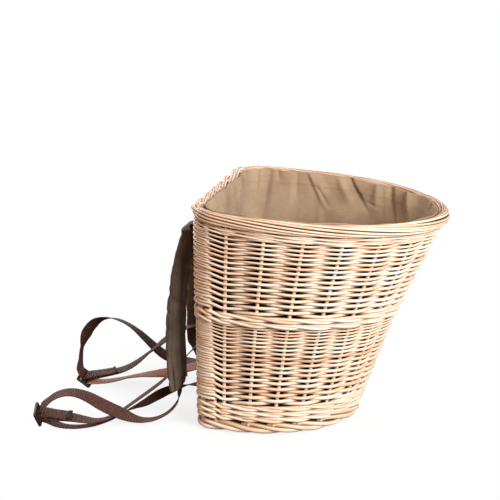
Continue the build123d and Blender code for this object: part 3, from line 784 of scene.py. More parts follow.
# %% Rim and foot
rim_back = dict(starts=np.arange(-0.215, 0.13, 0.0355), length=0.215, radius=0.0037, angles=(235, -80),
                shown=(-0.128, 0.128), tone=0.9)
rim_cross = dict(starts=np.arange(-0.200, 0.13, 0.0290), length=0.080, radius=0.0033, angles=(-70, 170),
                 shown=(-0.128, 0.128), tone=0.3, stand=0.66)
rim_sides = dict(starts=np.arange(-0.42, 0.88, 0.0592), length=0.710, radius=0.0024, angles=(-80, 235),
                 shown=(0.118, 0.882))
foot_round = dict(starts=np.arange(20) / 20, length=0.160, radius=0.0047, angles=(-205, 115), shown=(-1, 3))
rolled_border("rim_rods", RIM_Z, 0.0003, (0.0082, 0.0092), [rim_back, rim_cross, rim_sides],
              [(0, 0, 0.0052)], "rim_border")
rolled_border("foot_rods", 0.012, -0.0015, (0.0066, 0.0058), [foot_round],
              [(0, 0, 0.0045), (0.0085, 0.0035, 0.0052), (0.0145, 0.0045, 0.0040)], "foot_border")

# %% [markdown]
# ## The base
# The floor of the basket is woven on five sticks that run from side to side. The rods go
# over one stick and under the next, and the row beside it does the opposite.

# %% Woven base
BASE_Z, BASE_EDGE, BASE_PITCH, BASE_ROD_R = 0.030, 0.0088, 0.0054, 0.0026
STICK_COUNT, FIRST_STICK, STICK_R, STICK_HUG = 5, 0.030, 0.004, 0.85
LAST_ROD_IN, CORNER_IN, CORNER_WIDE = 0.004, 0.012, 0.018
# A rod that ends close to a stick doesn't go over it.
BACK_ROOM, FRONT_ROOM, STICK_STEPS = 0.010, 0.008, 7
back_x, half_back, bow, wide_x, depth, _ = plan_at(BASE_Z)
half_base = half_back + bow - BASE_EDGE
stick_x = [FIRST_STICK + k * (depth - FIRST_STICK) / STICK_COUNT for k in range(STICK_COUNT)]
base_rods = []
row_count = 2 * round((half_base - LAST_ROD_IN) / BASE_PITCH)
for k in range(row_count + 1):
    y = (k / row_count * 2 - 1) * (half_base - LAST_ROD_IN)
    inside = 1 - (y / half_base)**2
    front_x = wide_x + (depth - wide_x - BASE_EDGE) * sqrt(max(inside, 0.0))
    first_x = back_x + BASE_EDGE + (CORNER_IN if abs(y) > half_back - CORNER_WIDE else 0)
    knots = [first_x] + [x for x in stick_x if first_x + BACK_ROOM < x < front_x - FRONT_ROOM] + [front_x]
    sides = np.array([(1 if (k + n) % 2 else -1) for n in range(len(knots))])
    xs = [np.linspace(a, b, STICK_STEPS)[:-1] for a, b in zip(knots, knots[1:])]
    xs = np.concatenate(xs + [[knots[-1]]])
    place = np.interp(xs, knots, np.arange(len(knots)))
    low = np.minimum(place.astype(int), len(knots) - 2)
    share = eased(place - low)
    lift = (sides[low] * (1 - share) + sides[low + 1] * share) * (STICK_R + BASE_ROD_R * STICK_HUG)
    path = np.column_stack([xs, np.full(len(xs), y), BASE_Z + lift - fall_at(BASE_Z) * xs])
    base_rods.append((rod_sections(path, np.full(len(xs), BASE_ROD_R)), RODS.normal(0, 1)))
woven("base_rods", base_rods, "base_weave")

# %% [markdown]
# ## The liner
# The liner is a cotton bag that hangs inside the wall. Loose cloth in a round basket is never
# smooth: it falls in soft upright folds, leans, and creases where it meets the floor. A cloth
# simulation would lose the hem, so the bag is built ring by ring, each ring pushed inwards by
# a set of leaning folds, and then given its thickness.

# %% Folds of the cotton liner
# The liner's lowest and highest place, its distance from the stakes' line, and how high its outside
# is painted dark as the wall's shade.
LINER_LOW, LINER_TOP, LINER_IN, SHADE_TOP = 0.0405, 0.4000, 0.0122, 0.380
# Folds of the cloth that hang from the rim: a line from one (share, height) to another, the
# width of its slope on either side and how far it stands in, all in millimetres but the shares.
CREASES = [
    ((0.162, 396), (0.159, 300), 16, 7, -3.6), ((0.143, 394), (0.146, 352), 3, 9, 2.6),
    ((0.174, 396), (0.177, 380), 4, 6, -3.5), ((0.203, 390), (0.214, 318), 10, 16, -3.2),
    ((0.226, 390), (0.264, 330), 6, 22, 5.0), ((0.240, 372), (0.262, 342), 5, 4, -4.0),
    ((0.272, 392), (0.297, 350), 12, 8, 4.0), ((0.288, 394), (0.327, 346), 24, 4, -6.0),
    ((0.316, 364), (0.354, 354), 9, 9, -2.2), ((0.330, 392), (0.344, 340), 10, 12, 3.6),
    ((0.354, 398), (0.392, 322), 14, 5, -5.5), ((0.387, 398), (0.420, 336), 4, 24, 6.5),
    ((0.444, 398), (0.474, 370), 8, 6, -4.5), ((0.466, 394), (0.480, 330), 6, 14, 4.0),
    ((0.096, 394), (0.104, 350), 4, 9, 3.0), ((0.070, 394), (0.066, 356), 8, 4, 2.6),
    ((0.052, 394), (0.060, 340), 5, 9, -3.0), ((0.020, 396), (0.026, 362), 5, 7, -2.6),
]
FOLDS, SMALL_FOLD_COUNT = np.random.default_rng(7), 150
small_folds = [(FOLDS.random(), FOLDS.uniform(0.05, 0.39), FOLDS.normal(0, 0.5), FOLDS.uniform(0.003, 0.009),
                FOLDS.uniform(0.015, 0.06), FOLDS.uniform(-0.0016, 0.0016)) for _ in range(SMALL_FOLD_COUNT)]
# The cloth hangs looser in the upper part, and never stands further out than the wall lets it.
SLACK, UPPER_SLACK, UPPER_FROM, FURTHEST_OUT = 0.0016, 0.0032, 0.24, -0.0022
LOOSER_OVER, HELD_OVER = 0.08, 0.012
# A crease starts above its upper end, fades out round its lower one and grows wider downwards, all
# as shares of its length. It is a tent with a rounded foot.
CREASE_START, START_OVER, CREASE_END, END_OVER, WIDENING = 0.35, 0.3, 1.1, 0.7, 0.6
TENT_HALF, TENT_FOOT = 1.25, 0.35


def from_fold(share, middle, around):
    """Distances round the wall from the middle of a fold, by the shorter way."""
    return ((share - middle + 0.5) % 1.0 - 0.5) * around


def liner_folds(share, z):
    """How far the cloth stands in from the wall, at shares of the way round and at one height."""
    around = line_length(wall_line(z))
    looser = np.clip((z - UPPER_FROM) / LOOSER_OVER, 0, 1) * np.clip((LINER_TOP - z) / HELD_OVER, 0, 1)
    ripple = 0.5 * np.sin(2 * pi * (share * 7 + 0.3)) * np.sin(2 * pi * (share * 3 + z))
    amount = (SLACK + UPPER_SLACK * looser) * (1 + ripple)
    ridges, hollows = np.zeros_like(share), np.zeros_like(share)
    for (share_a, z_a), (share_b, z_b), before, after, stand in CREASES:
        t = (z_a * MM - z) / ((z_a - z_b) * MM)
        fade = float(np.clip((CREASE_END - t) / END_OVER, 0, 1)
                     * np.clip((t + CREASE_START) / START_OVER, 0, 1))
        off = from_fold(share, share_a + (share_b - share_a) * t, around)
        off = np.abs(off) / np.where(off < 0, before, after) / MM / (1 + WIDENING * max(t, 0.0))
        tent = np.maximum(TENT_HALF - off, 0)
        tent = np.where(tent > TENT_FOOT, tent - TENT_FOOT / 2, tent**2 / (2 * TENT_FOOT))
        tent = tent * abs(stand) * MM * fade
        if stand > 0:
            ridges = np.maximum(ridges, tent)
        else:
            hollows = np.maximum(hollows, tent)
    for place, middle_z, lean, width, reach, size in small_folds:
        off = from_fold(share, place + lean * (z - middle_z), around) / width
        amount += size * np.exp(-off**2 - ((z - middle_z) / reach)**2)
    return np.maximum(amount + ridges - hollows, FURTHEST_OUT)


print("creases", len(CREASES), "and small folds", len(small_folds))

# %% Rings of the liner
LINER_COLUMNS, FLOOR_SHARES = 560, (0.1, 0.28, 0.5, 0.7, 0.86, 0.97)
HEM_RIDGE, HEM_DROP, HEM_SOFT = 0.0008, 0.021, 0.002
EDGE_WAVE, FLOOR_WAVE = 0.0016, 0.0012
# The rings lie closer together in the upper part, where the cloth is seen.
RING_HEIGHTS = np.concatenate([np.linspace(0, 0.7, 30), np.linspace(0.7, 1, 41)[1:]])
columns = np.arange(LINER_COLUMNS) / LINER_COLUMNS
rings = []
for height in RING_HEIGHTS:
    z = LINER_LOW + (LINER_TOP - LINER_LOW) * height
    spot, out = on_line(wall_line(z), columns)
    hem = HEM_RIDGE * np.exp(-((z - LINER_TOP + HEM_DROP) / HEM_SOFT)**2)
    inset = LINER_IN + liner_folds(columns, z) + hem
    spot = spot - out * inset[:, None]
    edge = EDGE_WAVE * np.sin(2 * pi * columns * 11 + 1) * np.sin(2 * pi * columns * 4) * height**6
    rings.append(np.column_stack([spot, z + edge - fall_at(z) * spot[:, 0]]))
centre = rings[0].mean(axis=0)
floor_rings = []
for share in FLOOR_SHARES:
    flat = centre + (rings[0] - centre) * share
    flat[:, 2] += FLOOR_WAVE * np.sin(columns * 2 * pi * 5 + share * 9) * share
    floor_rings.append(flat)
layers = floor_rings + rings
print("liner rings", len(layers))

# %% Cotton liner
CLOTH_THICK = 0.0011
points = np.concatenate([centre[None]] + layers)
faces, maps = [], []
for j in range(LINER_COLUMNS):
    k = (j + 1) % LINER_COLUMNS
    faces.append((0, 1 + j, 1 + k))
    maps += [(0, 0)] * 3
for i in range(len(layers) - 1):
    a, b = 1 + i * LINER_COLUMNS, 1 + (i + 1) * LINER_COLUMNS
    for j in range(LINER_COLUMNS):
        k = (j + 1) % LINER_COLUMNS
        faces.append((a + j, b + j, b + k, a + k))
        u, w = j / LINER_COLUMNS, (j + 1) / LINER_COLUMNS
        maps += [(u, i), (u, i + 1), (w, i + 1), (w, i)]
liner = mesh_piece("liner_bag", points, faces, maps, np.zeros(len(points)), np.zeros(len(points)))
bpy.ops.object.select_all(action="DESELECT")
bpy.context.view_layer.objects.active = liner
liner.select_set(True)
bpy.ops.object.mode_set(mode="EDIT")
bpy.ops.mesh.select_all(action="SELECT")
bpy.ops.mesh.normals_make_consistent(inside=True)
bpy.ops.object.mode_set(mode="OBJECT")
# One empty slot for the finish inside and one for the painted shade outside, so that Solidify can tell them
# apart.
for _ in ("inside", "outside"):
    liner.data.materials.append(None)
cloth = liner.modifiers.new("cloth", "SOLIDIFY")
cloth.thickness, cloth.offset, cloth.material_offset = CLOTH_THICK, -1, 1
bpy.ops.object.modifier_apply(modifier="cloth")
# The outside is painted dark as the wall's shade only up to the rim.
faces_of_liner = liner.data.polygons
finish_of, middles = np.empty(len(faces_of_liner), np.int32), np.empty(len(faces_of_liner) * 3)
faces_of_liner.foreach_get("material_index", finish_of)
faces_of_liner.foreach_get("center", middles)
finish_of[middles[2::3] + RIM_FALL * middles[0::3] > SHADE_TOP] = 0
faces_of_liner.foreach_set("material_index", finish_of)
ride_on(liner, "basket", "liner_cotton", "liner", "liner_hem")
print("liner faces", len(faces_of_liner))

# %% [markdown]
# ## Shoulder pads
# A shoulder pad is a cotton sleeve round a strip of foam. It is boxy with soft edges, and has
# one row of stitches across it near the lower end. A sphere already has the rings that a pad
# needs, so its rings become the pad's slices. The pad then swells as cloth under a little
# pressure, and the sewn lines are pulled in afterwards.

# %% The pad's own line and size
PAD_ARC = np.array([(-0.020, 0.350), (-0.050, 0.205), (-0.048, 0.058)])
PAD_Y, PAD_WIDTH, PAD_THICK = 0.095, 0.070, 0.019
PAD_START, PAD_END = -0.014, 1.022
PAD_SHARES = (0.00, 0.03, 0.10, 0.30, 0.50, 0.70, 0.86, 0.95, 1.00)
PAD_WIDE = (0.94, 0.97, 0.99, 1.00, 1.00, 1.00, 0.99, 0.97, 0.94)
PAD_DEEP = (0.90, 0.94, 0.97, 1.00, 1.00, 0.98, 0.95, 0.92, 0.86)


def circle_through(points):
    """Middle and radius of the circle through three points."""
    rows = np.column_stack([2 * points, np.ones(3)])
    x, z, rest = np.linalg.solve(rows, (points**2).sum(axis=1))
    return np.array((x, z)), sqrt(rest + x * x + z * z)


pad_middle, pad_radius = circle_through(PAD_ARC)
pad_start, pad_end = (atan2(p[1] - pad_middle[1], p[0] - pad_middle[0]) % (2 * pi) for p in PAD_ARC[[0, 2]])


def pad_place(share):
    """A point on the pad's middle line, and the direction out of its front face."""
    turn = pad_start + (pad_end - pad_start) * share
    out = np.stack([np.cos(turn), np.sin(turn)], -1)
    return pad_middle + pad_radius * out, out


PAD_LENGTH = pad_radius * abs(pad_end - pad_start)
print("pad length", round(PAD_LENGTH, 3), "m")


# %% Places on a pad
def pad_coordinates(points, y):
    """Share along the pad, distance across it and height off its middle, for points in place."""
    flat = points[:, [0, 2]] - pad_middle
    turn = np.arctan2(flat[:, 1], flat[:, 0]) % (2 * pi)
    share = (turn - pad_start) / (pad_end - pad_start)
    return share, points[:, 1] - y, np.linalg.norm(flat, axis=1) - pad_radius


def pad_point(share, across, high, y):
    """The opposite: points in place, from their share along, distance across and height."""
    spot, out = pad_place(share)
    flat = spot + out * high[:, None]
    return np.column_stack([flat[:, 0], y + across, flat[:, 1]])


def read_points(piece):
    points = np.empty(len(piece.data.vertices) * 3)
    piece.data.vertices.foreach_get("co", points)
    return points.reshape(-1, 3)


def write_points(piece, points):
    piece.data.vertices.foreach_set("co", np.ascontiguousarray(points, dtype=np.float32).ravel())
    piece.data.update()


# %% A pad's plain form
# How square the corners of a slice are, across and upwards, how long the rounded ends are, and the
# room that is left for the filling.
SQUARE_ACROSS, SQUARE_UP, END_ROUND, FILL_ROOM = 0.45, 0.6, 0.014, 0.96


def squared(wave, power):
    """A sine or cosine with flatter tops, which makes a circle boxy."""
    return np.sign(wave) * np.abs(wave)**power


def pad_body(name, y):
    """A pad's plain form: a sphere whose rings are set out as slices along the pad."""
    bpy.ops.object.select_all(action="DESELECT")
    bpy.ops.mesh.primitive_uv_sphere_add(segments=48, ring_count=72, radius=1)
    pad = bpy.context.object
    pad.name = pad.data.name = name
    ball = read_points(pad)
    share = np.arccos(np.clip(ball[:, 2], -1, 1)) / pi
    turn = np.arctan2(ball[:, 1], ball[:, 0])
    end = np.clip(np.sin(np.clip(share, 0, 1) * pi) / np.sin(END_ROUND * pi), 0, 1)
    wide = np.interp(share, PAD_SHARES, PAD_WIDE) * PAD_WIDTH / 2 * np.sqrt(end)
    deep = np.interp(share, PAD_SHARES, PAD_DEEP) * PAD_THICK / 2 * end
    across = squared(np.cos(turn), SQUARE_ACROSS) * wide
    high = squared(np.sin(turn), SQUARE_UP) * deep * FILL_ROOM
    write_points(pad, pad_point(PAD_START + share * (PAD_END - PAD_START), across, high, y))
    return pad


# %% Swell the pads
PAD_VOXEL, FILL_PRESSURE, FILL_FRAMES, FILL_MOST = 0.0034, 4, 20, 0.0035


def swell(pad):
    """Fill a pad by cloth under pressure, and keep each point near where it was."""
    pad.data.remesh_voxel_size = PAD_VOXEL
    bpy.ops.object.voxel_remesh()
    before = read_points(pad)
    cloth = pad.modifiers.new("fill", "CLOTH")
    cloth.settings.use_pressure = True
    cloth.settings.uniform_pressure_force = FILL_PRESSURE
    cloth.settings.effector_weights.gravity = 0
    for number in range(1, FILL_FRAMES + 1):
        scene.frame_set(number)
    bpy.ops.object.modifier_apply(modifier="fill")
    scene.frame_set(1)
    move = read_points(pad) - before
    far = np.linalg.norm(move, axis=1, keepdims=True)
    write_points(pad, before + move * np.minimum(1, FILL_MOST / np.maximum(far, 1e-9)))
    print(pad.name, "points", len(before), "furthest move", round(float(far.max()), 4))


pads = {}
for side, y in (("left", -PAD_Y), ("right", PAD_Y)):
    pad = pad_body(f"{side}_shoulder_pad", y)
    swell(pad)
    soft = pad.modifiers.new("soft", "SUBSURF")
    soft.levels = soft.render_levels = 1
    bpy.ops.object.modifier_apply(modifier="soft")
    bpy.ops.object.shade_smooth()
    pads[side] = pad

# %% Sew the pads
# The row of stitches: its share of the length, how far it pulls in and how far that reaches.
STITCH_SHARE, STITCH_PULL, STITCH_REACH = 0.945, 0.16, 0.0035
GATHER_DEPTH, GATHER_WIDTH, TOP_GATHER, LOW_GATHER, LOW_SHARE = 0.10, 0.0105, 0.022, 0.016, 0.7
EDGE_GROOVE, END_GROOVE, GROOVE_HALF = 0.0012, 0.0045, 0.0026
# Where the groove grows deeper along the pad, and where its edge begins across it.
END_FROM_TO, EDGE_FROM_TO = (0.78, 0.93), (0.72, 0.95)
WRINKLES, WRINKLE_ACROSS = 80, 0.6
# A pad that stands off the wall is turned about its length as well, and comes back near its lower end.
PAD_TURN, OFF_FROM_TO, BACK_FROM_TO, BACK_SHARE = 1.15, (0.0, 0.34), (0.90, 1.0), 0.55


def step(low, high, value):
    """0 below a range, 1 above it and a soft rise between."""
    t = np.clip((value - low) / (high - low), 0, 1)
    return t * t * (3 - 2 * t)


def bell(off, width):
    """1 at a middle, and less with the distance from it."""
    return np.exp(-(off / width)**2)


def sew(pad, y, seed, stand_off):
    """Pull in the stitched lines of a pad, gather its ends, wrinkle its cloth and bow it outwards."""
    wrinkles = np.random.default_rng(seed)
    share, across, high = pad_coordinates(read_points(pad), y)
    along = share * PAD_LENGTH
    half = PAD_WIDTH / 2
    high *= 1 - STITCH_PULL * bell(along - STITCH_SHARE * PAD_LENGTH, STITCH_REACH)
    gather = bell(along, TOP_GATHER) + LOW_SHARE * bell(along - PAD_END * PAD_LENGTH, LOW_GATHER)
    high *= 1 + GATHER_DEPTH * gather * np.sin(2 * pi * across / GATHER_WIDTH + seed)
    groove = EDGE_GROOVE + END_GROOVE * step(*END_FROM_TO, share)
    rim = step(*EDGE_FROM_TO, np.abs(across) / half)
    across = across - np.sign(across) * groove * rim * bell(high, GROOVE_HALF)
    for _ in range(WRINKLES):
        place, size = wrinkles.uniform(0.02, 0.98) * PAD_LENGTH, wrinkles.uniform(0.0006, 0.0019)
        lean, width = wrinkles.normal(0, 0.35), wrinkles.uniform(0.0035, 0.009)
        middle, reach = wrinkles.uniform(-0.036, 0.036), wrinkles.uniform(0.010, 0.026)
        face = wrinkles.choice((-1.0, 1.0))
        crease = np.exp(-((along - place - lean * (across - middle)) / width)**2
                        - ((across - middle) / reach)**2)
        high = high - size * crease * np.sign(high) * (0.5 + 0.5 * face * np.sign(high))
        across = across - WRINKLE_ACROSS * size * crease * np.sign(across) * rim
    turned = 1 - PAD_TURN * across / half
    back = 1 - BACK_SHARE * step(*BACK_FROM_TO, share)
    high = high + stand_off * turned * step(*OFF_FROM_TO, share) * back
    write_points(pad, pad_point(share, across, high, y))


PAD_SEEDS = {"left": 3, "right": 4}
for side, y, stand_off in (("left", -PAD_Y, 0.0), ("right", PAD_Y, 0.010)):
    sew(pads[side], y, PAD_SEEDS[side], stand_off)
    ride_on(pads[side], f"{side}_pad", "pad_cotton", f"{side}_pad_cover", f"{side}_pad_foam")
print("pads", [len(p.data.polygons) for p in pads.values()])

# %% Raw edge of the covers
SEAM_FROM, SEAM_TO, SEAM_SPOTS, SPOT_NEAR, SEAM_STEPS = 0.06, 0.985, 90, 0.008, 260
# The strip stands on the pad's inner corner: its way out, how far it goes in and out, its thickness
# and how ragged its outer edge is.
SEAM_ACROSS, SEAM_UP = 0.75, -0.66
SEAM_IN, SEAM_OUT, SEAM_THICK, SEAM_RAGGED = -0.002, 0.0026, 0.0012, 0.0011


def seam(name, pad, y, seed):
    """The raw edge of the cover, a thin frayed strip that stands on one inner edge of a pad."""
    frays = np.random.default_rng(seed)
    shares, acrosses, highs = pad_coordinates(read_points(pad), y)
    steps = np.linspace(SEAM_FROM, SEAM_TO, SEAM_SPOTS)
    spots = []
    for place in steps:
        near = np.abs(shares - place) < SPOT_NEAR
        best = np.argmax(SEAM_ACROSS * acrosses[near] + SEAM_UP * highs[near])
        spots.append((acrosses[near][best], highs[near][best]))
    fine = np.linspace(SEAM_FROM, SEAM_TO, SEAM_STEPS)
    across, high = (np.interp(fine, steps, evened(values)) for values in np.array(spots).T)
    fray = np.convolve(frays.normal(0, 1, len(fine) + 2), np.ones(3) / 3, "valid")
    corners = []
    for out, side in ((SEAM_IN, 0.0), (SEAM_OUT, 0.0), (SEAM_OUT, SEAM_THICK), (SEAM_IN, SEAM_THICK)):
        ragged = fray * SEAM_RAGGED if out > 0 else 0.0
        corners.append(pad_point(fine, across + SEAM_ACROSS * out + ragged, high + SEAM_UP * out - side, y))
    return piece_from(name, [(np.stack(corners, 1), 0.0)], smooth=False)


pad_seams = []
for side, y in (("left", -PAD_Y), ("right", PAD_Y)):
    strip = seam(f"{side}_pad_seam", pads[side], y, PAD_SEEDS[side])
    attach(strip, f"{side}_pad")
    pad_seams.append(strip)
print("raw edges", len(pad_seams))

# %% [markdown]
# ## Loops through the wall
# The webbing is not fixed to the basket with anything hard. It goes in between two rows of
# the weave, down the inside and out again, so the weave itself holds it. A wider loop near
# the rim holds the top of each pad.

# %% Loops through the wall
HANGER_WIDTH, HINGE, RUN_Y = 0.038, (-0.01741, 0.35799), 0.045
# Two points near a pad's hinge, just above it and just below it, are set off from it by these distances.
BEND_NEAR, BEND_FAR = 0.003, 0.004
pad_loop = [(-11, 334), (-4, 334), (4, 334), (8.6, 335), (8.8, 340), (8.8, 352), (8.6, 357.6),
            (4, 358.4), (-6, 358.4), (-13, 358.6), (-17.6, 358.2), (-19.6, 354), (-22, 346), (-24, 339)]
run_loop = [(-9.8, 130), (-2, 130), (9, 130), (12.2, 129), (12.6, 122), (12.6, 100), (12.6, 70),
            (12.6, 52), (12.2, 45), (9, 44), (-2, 44), (-9.8, 44)]


def loop_line(points, y):
    """The smooth line of a loop that lies in an upright plane."""
    return smooth_line([((x, y / MM, z), EVEN) for x, z in points])


for side, way in (("left", -1), ("right", 1)):
    y = way * PAD_Y
    loop = ribbon(f"{side}_pad_loop", *loop_line(pad_loop, y), width=HANGER_WIDTH)
    bend_between(loop, "basket", f"{side}_pad", (HINGE[0] + BEND_FAR, y, HINGE[1] + BEND_NEAR),
                 (HINGE[0] - BEND_NEAR, y, HINGE[1] - BEND_FAR), f"{side}_pad_anchor", f"{side}_pad_hanger")
    hold = ribbon(f"{side}_wall_loop", *loop_line(run_loop, way * RUN_Y))
    ride_on(hold, "basket", "webbing", f"{side}_strap_anchor")
    webbing_pieces.append(hold)
print("loops done, webbing pieces", len(webbing_pieces))

# %% Sewn tails
# A tail's last stretch is folded over once more, and the fold lies on top of it.
FOLD_LENGTH, FOLD_LIFT = 0.007, 0.0016
for side, end, back in (("left", left_tail, left_return), ("right", right_tail, right_return)):
    whole, _ = smooth_line(back)
    line, across = smooth_line(end)
    lift = unit(np.cross(unit(np.gradient(line, axis=0)), across))
    lift *= np.sign(lift[-1, 2]) * FOLD_LIFT
    fold = line_length(line) - distances(line) < FOLD_LENGTH
    folded = (line + lift)[fold]
    tail = piece_from(f"{side}_sewn_tail", [(ribbon_sections(line, across), 0.0),
                                            (ribbon_sections(folded, across[fold]), 1.0)])
    bend_between(tail, "basket", f"{side}_slide", whole[-1], whole[0], f"{side}_strap_tail")
print("webbing pieces", len(webbing_pieces))

# %% [markdown]
# ## Sliders
# A slider is a small moulded plastic ladder: two slots and a bar between them. It is made from
# a grid of three by five cells whose lines are moved to the slots' edges. Two cells are taken
# out, the rest is pulled up into a plate, and all its edges are rounded.

# %% Plastic sliders
SLIDER_LINES_U = np.array((-18, -13.25, 13.25, 18)) * MM
SLIDER_LINES_V = np.array((-15, -8.5, -2.5, 2.5, 8.5, 15)) * MM
SLIDER_THICK, CORNER_R, EDGE_R = 0.004, 0.004, 0.0008
SLOT_V = float(SLIDER_LINES_V[3:5].mean())
CLOSE = 1e-5
slider_pieces = {}


def slider(name, place):
    """A plate with two slots and a bar between them, set in a slider's place."""
    bpy.ops.object.select_all(action="DESELECT")
    bpy.ops.mesh.primitive_grid_add(x_subdivisions=3, y_subdivisions=5, size=1)
    plate = bpy.context.object
    plate.name = plate.data.name = name
    points = read_points(plate)
    columns = np.rint((points[:, 0] + 0.5) * 3).astype(int)
    rows = np.rint((points[:, 1] + 0.5) * 5).astype(int)
    write_points(plate, np.column_stack([SLIDER_LINES_U[columns], SLIDER_LINES_V[rows],
                                         np.full(len(points), -SLIDER_THICK / 2)]))
    bpy.ops.object.mode_set(mode="EDIT")
    bpy.ops.mesh.select_mode(type="FACE")
    bpy.ops.mesh.select_all(action="DESELECT")
    bpy.ops.object.mode_set(mode="OBJECT")
    for cell in plate.data.polygons:
        cell.select = abs(cell.center.x) < CLOSE and abs(abs(cell.center.y) - SLOT_V) < CLOSE
    bpy.ops.object.mode_set(mode="EDIT")
    bpy.ops.mesh.delete(type="FACE")
    bpy.ops.mesh.select_all(action="SELECT")
    bpy.ops.mesh.extrude_region_move(TRANSFORM_OT_translate={"value": (0, 0, SLIDER_THICK)})
    bpy.ops.mesh.select_all(action="SELECT")
    bpy.ops.mesh.normals_make_consistent(inside=False)
    bpy.ops.mesh.select_mode(type="EDGE")
    bpy.ops.mesh.select_all(action="DESELECT")
    bpy.ops.object.mode_set(mode="OBJECT")
    for edge in plate.data.edges:
        a, b = (plate.data.vertices[i].co for i in edge.vertices)
        corner = abs(abs(a.x) - SLIDER_LINES_U[-1]) < CLOSE and abs(abs(a.y) - SLIDER_LINES_V[-1]) < CLOSE
        edge.select = bool(corner and abs(a.z - b.z) > SLIDER_THICK / 2)
    bpy.ops.object.mode_set(mode="EDIT")
    bpy.ops.mesh.bevel(offset=CORNER_R, segments=5, affect="EDGES")
    bpy.ops.object.mode_set(mode="OBJECT")
    rounding = plate.modifiers.new("rounding", "BEVEL")
    rounding.width, rounding.segments, rounding.limit_method = EDGE_R, 3, "ANGLE"
    bpy.ops.object.modifier_apply(modifier="rounding")
    bpy.ops.object.shade_smooth_by_angle(angle=radians(35))
    at, bar, up, face = slider_axes(place)
    plate.data.transform(Matrix.Translation(at * MM) @ Matrix((bar, up, face)).transposed().to_4x4())
    plate.data.update()
    return plate


for side, place in (("left", LEFT_SLIDER), ("right", RIGHT_SLIDER)):
    slider_pieces[side] = slider(f"{side}_ladder_slider", place)
    ride_on(slider_pieces[side], f"{side}_slide", "slider_plastic", f"{side}_slider")
print("sliders", [len(p.data.polygons) for p in slider_pieces.values()])

# %% Count the runs of webbing
print("declared", len(webbing_lines), "runs")

# %% [markdown]
# ## Finishes
# Peeled willow is pale and a little glossy, and no two rods have the same colour: some are
# cream, some are nearly orange. Each rod's own tint picks its colour, and fine streaks run
# along it. The gaps of a weave lie in shade, so shade is painted on each rod: between the
# rows, and darker still where a rod lies deep in the wall.
# All finishes are made of nodes, so nothing has to be painted or loaded.

# %% A small kit for finishes
WHITE = (1.0, 1.0, 1.0)


def finish_tree(name):
    """A new material, its node tree and its main shader."""
    finish = bpy.data.materials.new(name)
    finish.use_nodes = True
    return finish, finish.node_tree, finish.node_tree.nodes["Principled BSDF"]


def node(tree, kind, inputs=None, **settings):
    """A new node with its settings, and its inputs given as values or as other outputs."""
    made = tree.nodes.new(kind)
    for key, value in settings.items():
        setattr(made, key, value)
    for key, value in (inputs or {}).items():
        if isinstance(value, bpy.types.NodeSocket):
            tree.links.new(value, made.inputs[key])
        else:
            made.inputs[key].default_value = value
    return made


def on_piece(tree):
    """A point's place on its piece."""
    return node(tree, "ShaderNodeTexCoord").outputs["Object"]


def on_map(tree):
    """A point's place on its piece's own map."""
    return node(tree, "ShaderNodeUVMap", uv_map="UVMap").outputs["UV"]


def own_number(tree, name):
    """A number that each point of a piece carries."""
    return node(tree, "ShaderNodeAttribute", attribute_name=name).outputs["Fac"]


def stretched(tree, where, *scale):
    return node(tree, "ShaderNodeMapping", {"Vector": where, "Scale": scale}).outputs[0]


def noise(tree, where, scale, detail, roughness=0.5):
    return node(tree, "ShaderNodeTexNoise", {"Vector": where, "Scale": scale, "Detail": detail,
                                             "Roughness": roughness}).outputs["Fac"]


def worked_out(tree, operation, *values):
    """The outcome of a sum."""
    return node(tree, "ShaderNodeMath", dict(enumerate(values)), operation=operation).outputs[0]


def ranged(tree, value, low, high, to_low=0.0, to_high=1.0, **settings):
    """A value moved from one range to another."""
    return node(tree, "ShaderNodeMapRange", {"Value": value, "From Min": low, "From Max": high,
                                             "To Min": to_low, "To Max": to_high}, **settings).outputs[0]


# %% Colours for the finishes
def ramp(tree, factor, *stops):
    """A colour ramp with (place, colour) stops."""
    made = node(tree, "ShaderNodeValToRGB", {"Fac": factor})
    bar = made.color_ramp.elements
    while len(bar) < len(stops):
        bar.new(0.5)
    for element, (place, colour) in zip(bar, stops):
        element.position = place
        element.color = (*colour, 1)
    return made.outputs["Color"]


def screen(red, green, blue):
    """A colour as a screen shows it, from 0 to 255, turned into light."""
    return tuple(c / 3294.6 if c <= 10 else ((c / 255 + 0.055) / 1.055)**2.4 for c in (red, green, blue))


def mixed(tree, factor, first, second, kind="MIX"):
    made = node(tree, "ShaderNodeMix", data_type="RGBA", blend_type=kind)
    for socket, value in zip((made.inputs[0], made.inputs[6], made.inputs[7]), (factor, first, second)):
        if isinstance(value, bpy.types.NodeSocket):
            tree.links.new(value, socket)
        else:
            socket.default_value = value if isinstance(value, float) else (*value, 1)
    return made.outputs[2]


def finish_off(tree, shader, colour, height, strength, distance, constants):
    """Give a finish its colour, its relief and its constants."""
    tree.links.new(colour, shader.inputs["Base Color"])
    bump = node(tree, "ShaderNodeBump", {"Height": height, "Strength": strength, "Distance": distance})
    tree.links.new(bump.outputs[0], shader.inputs["Normal"])
    for key, value in constants.items():
        shader.inputs[key].default_value = value


def wear(finish, pieces):
    for piece in pieces:
        piece.data.materials.append(finish)


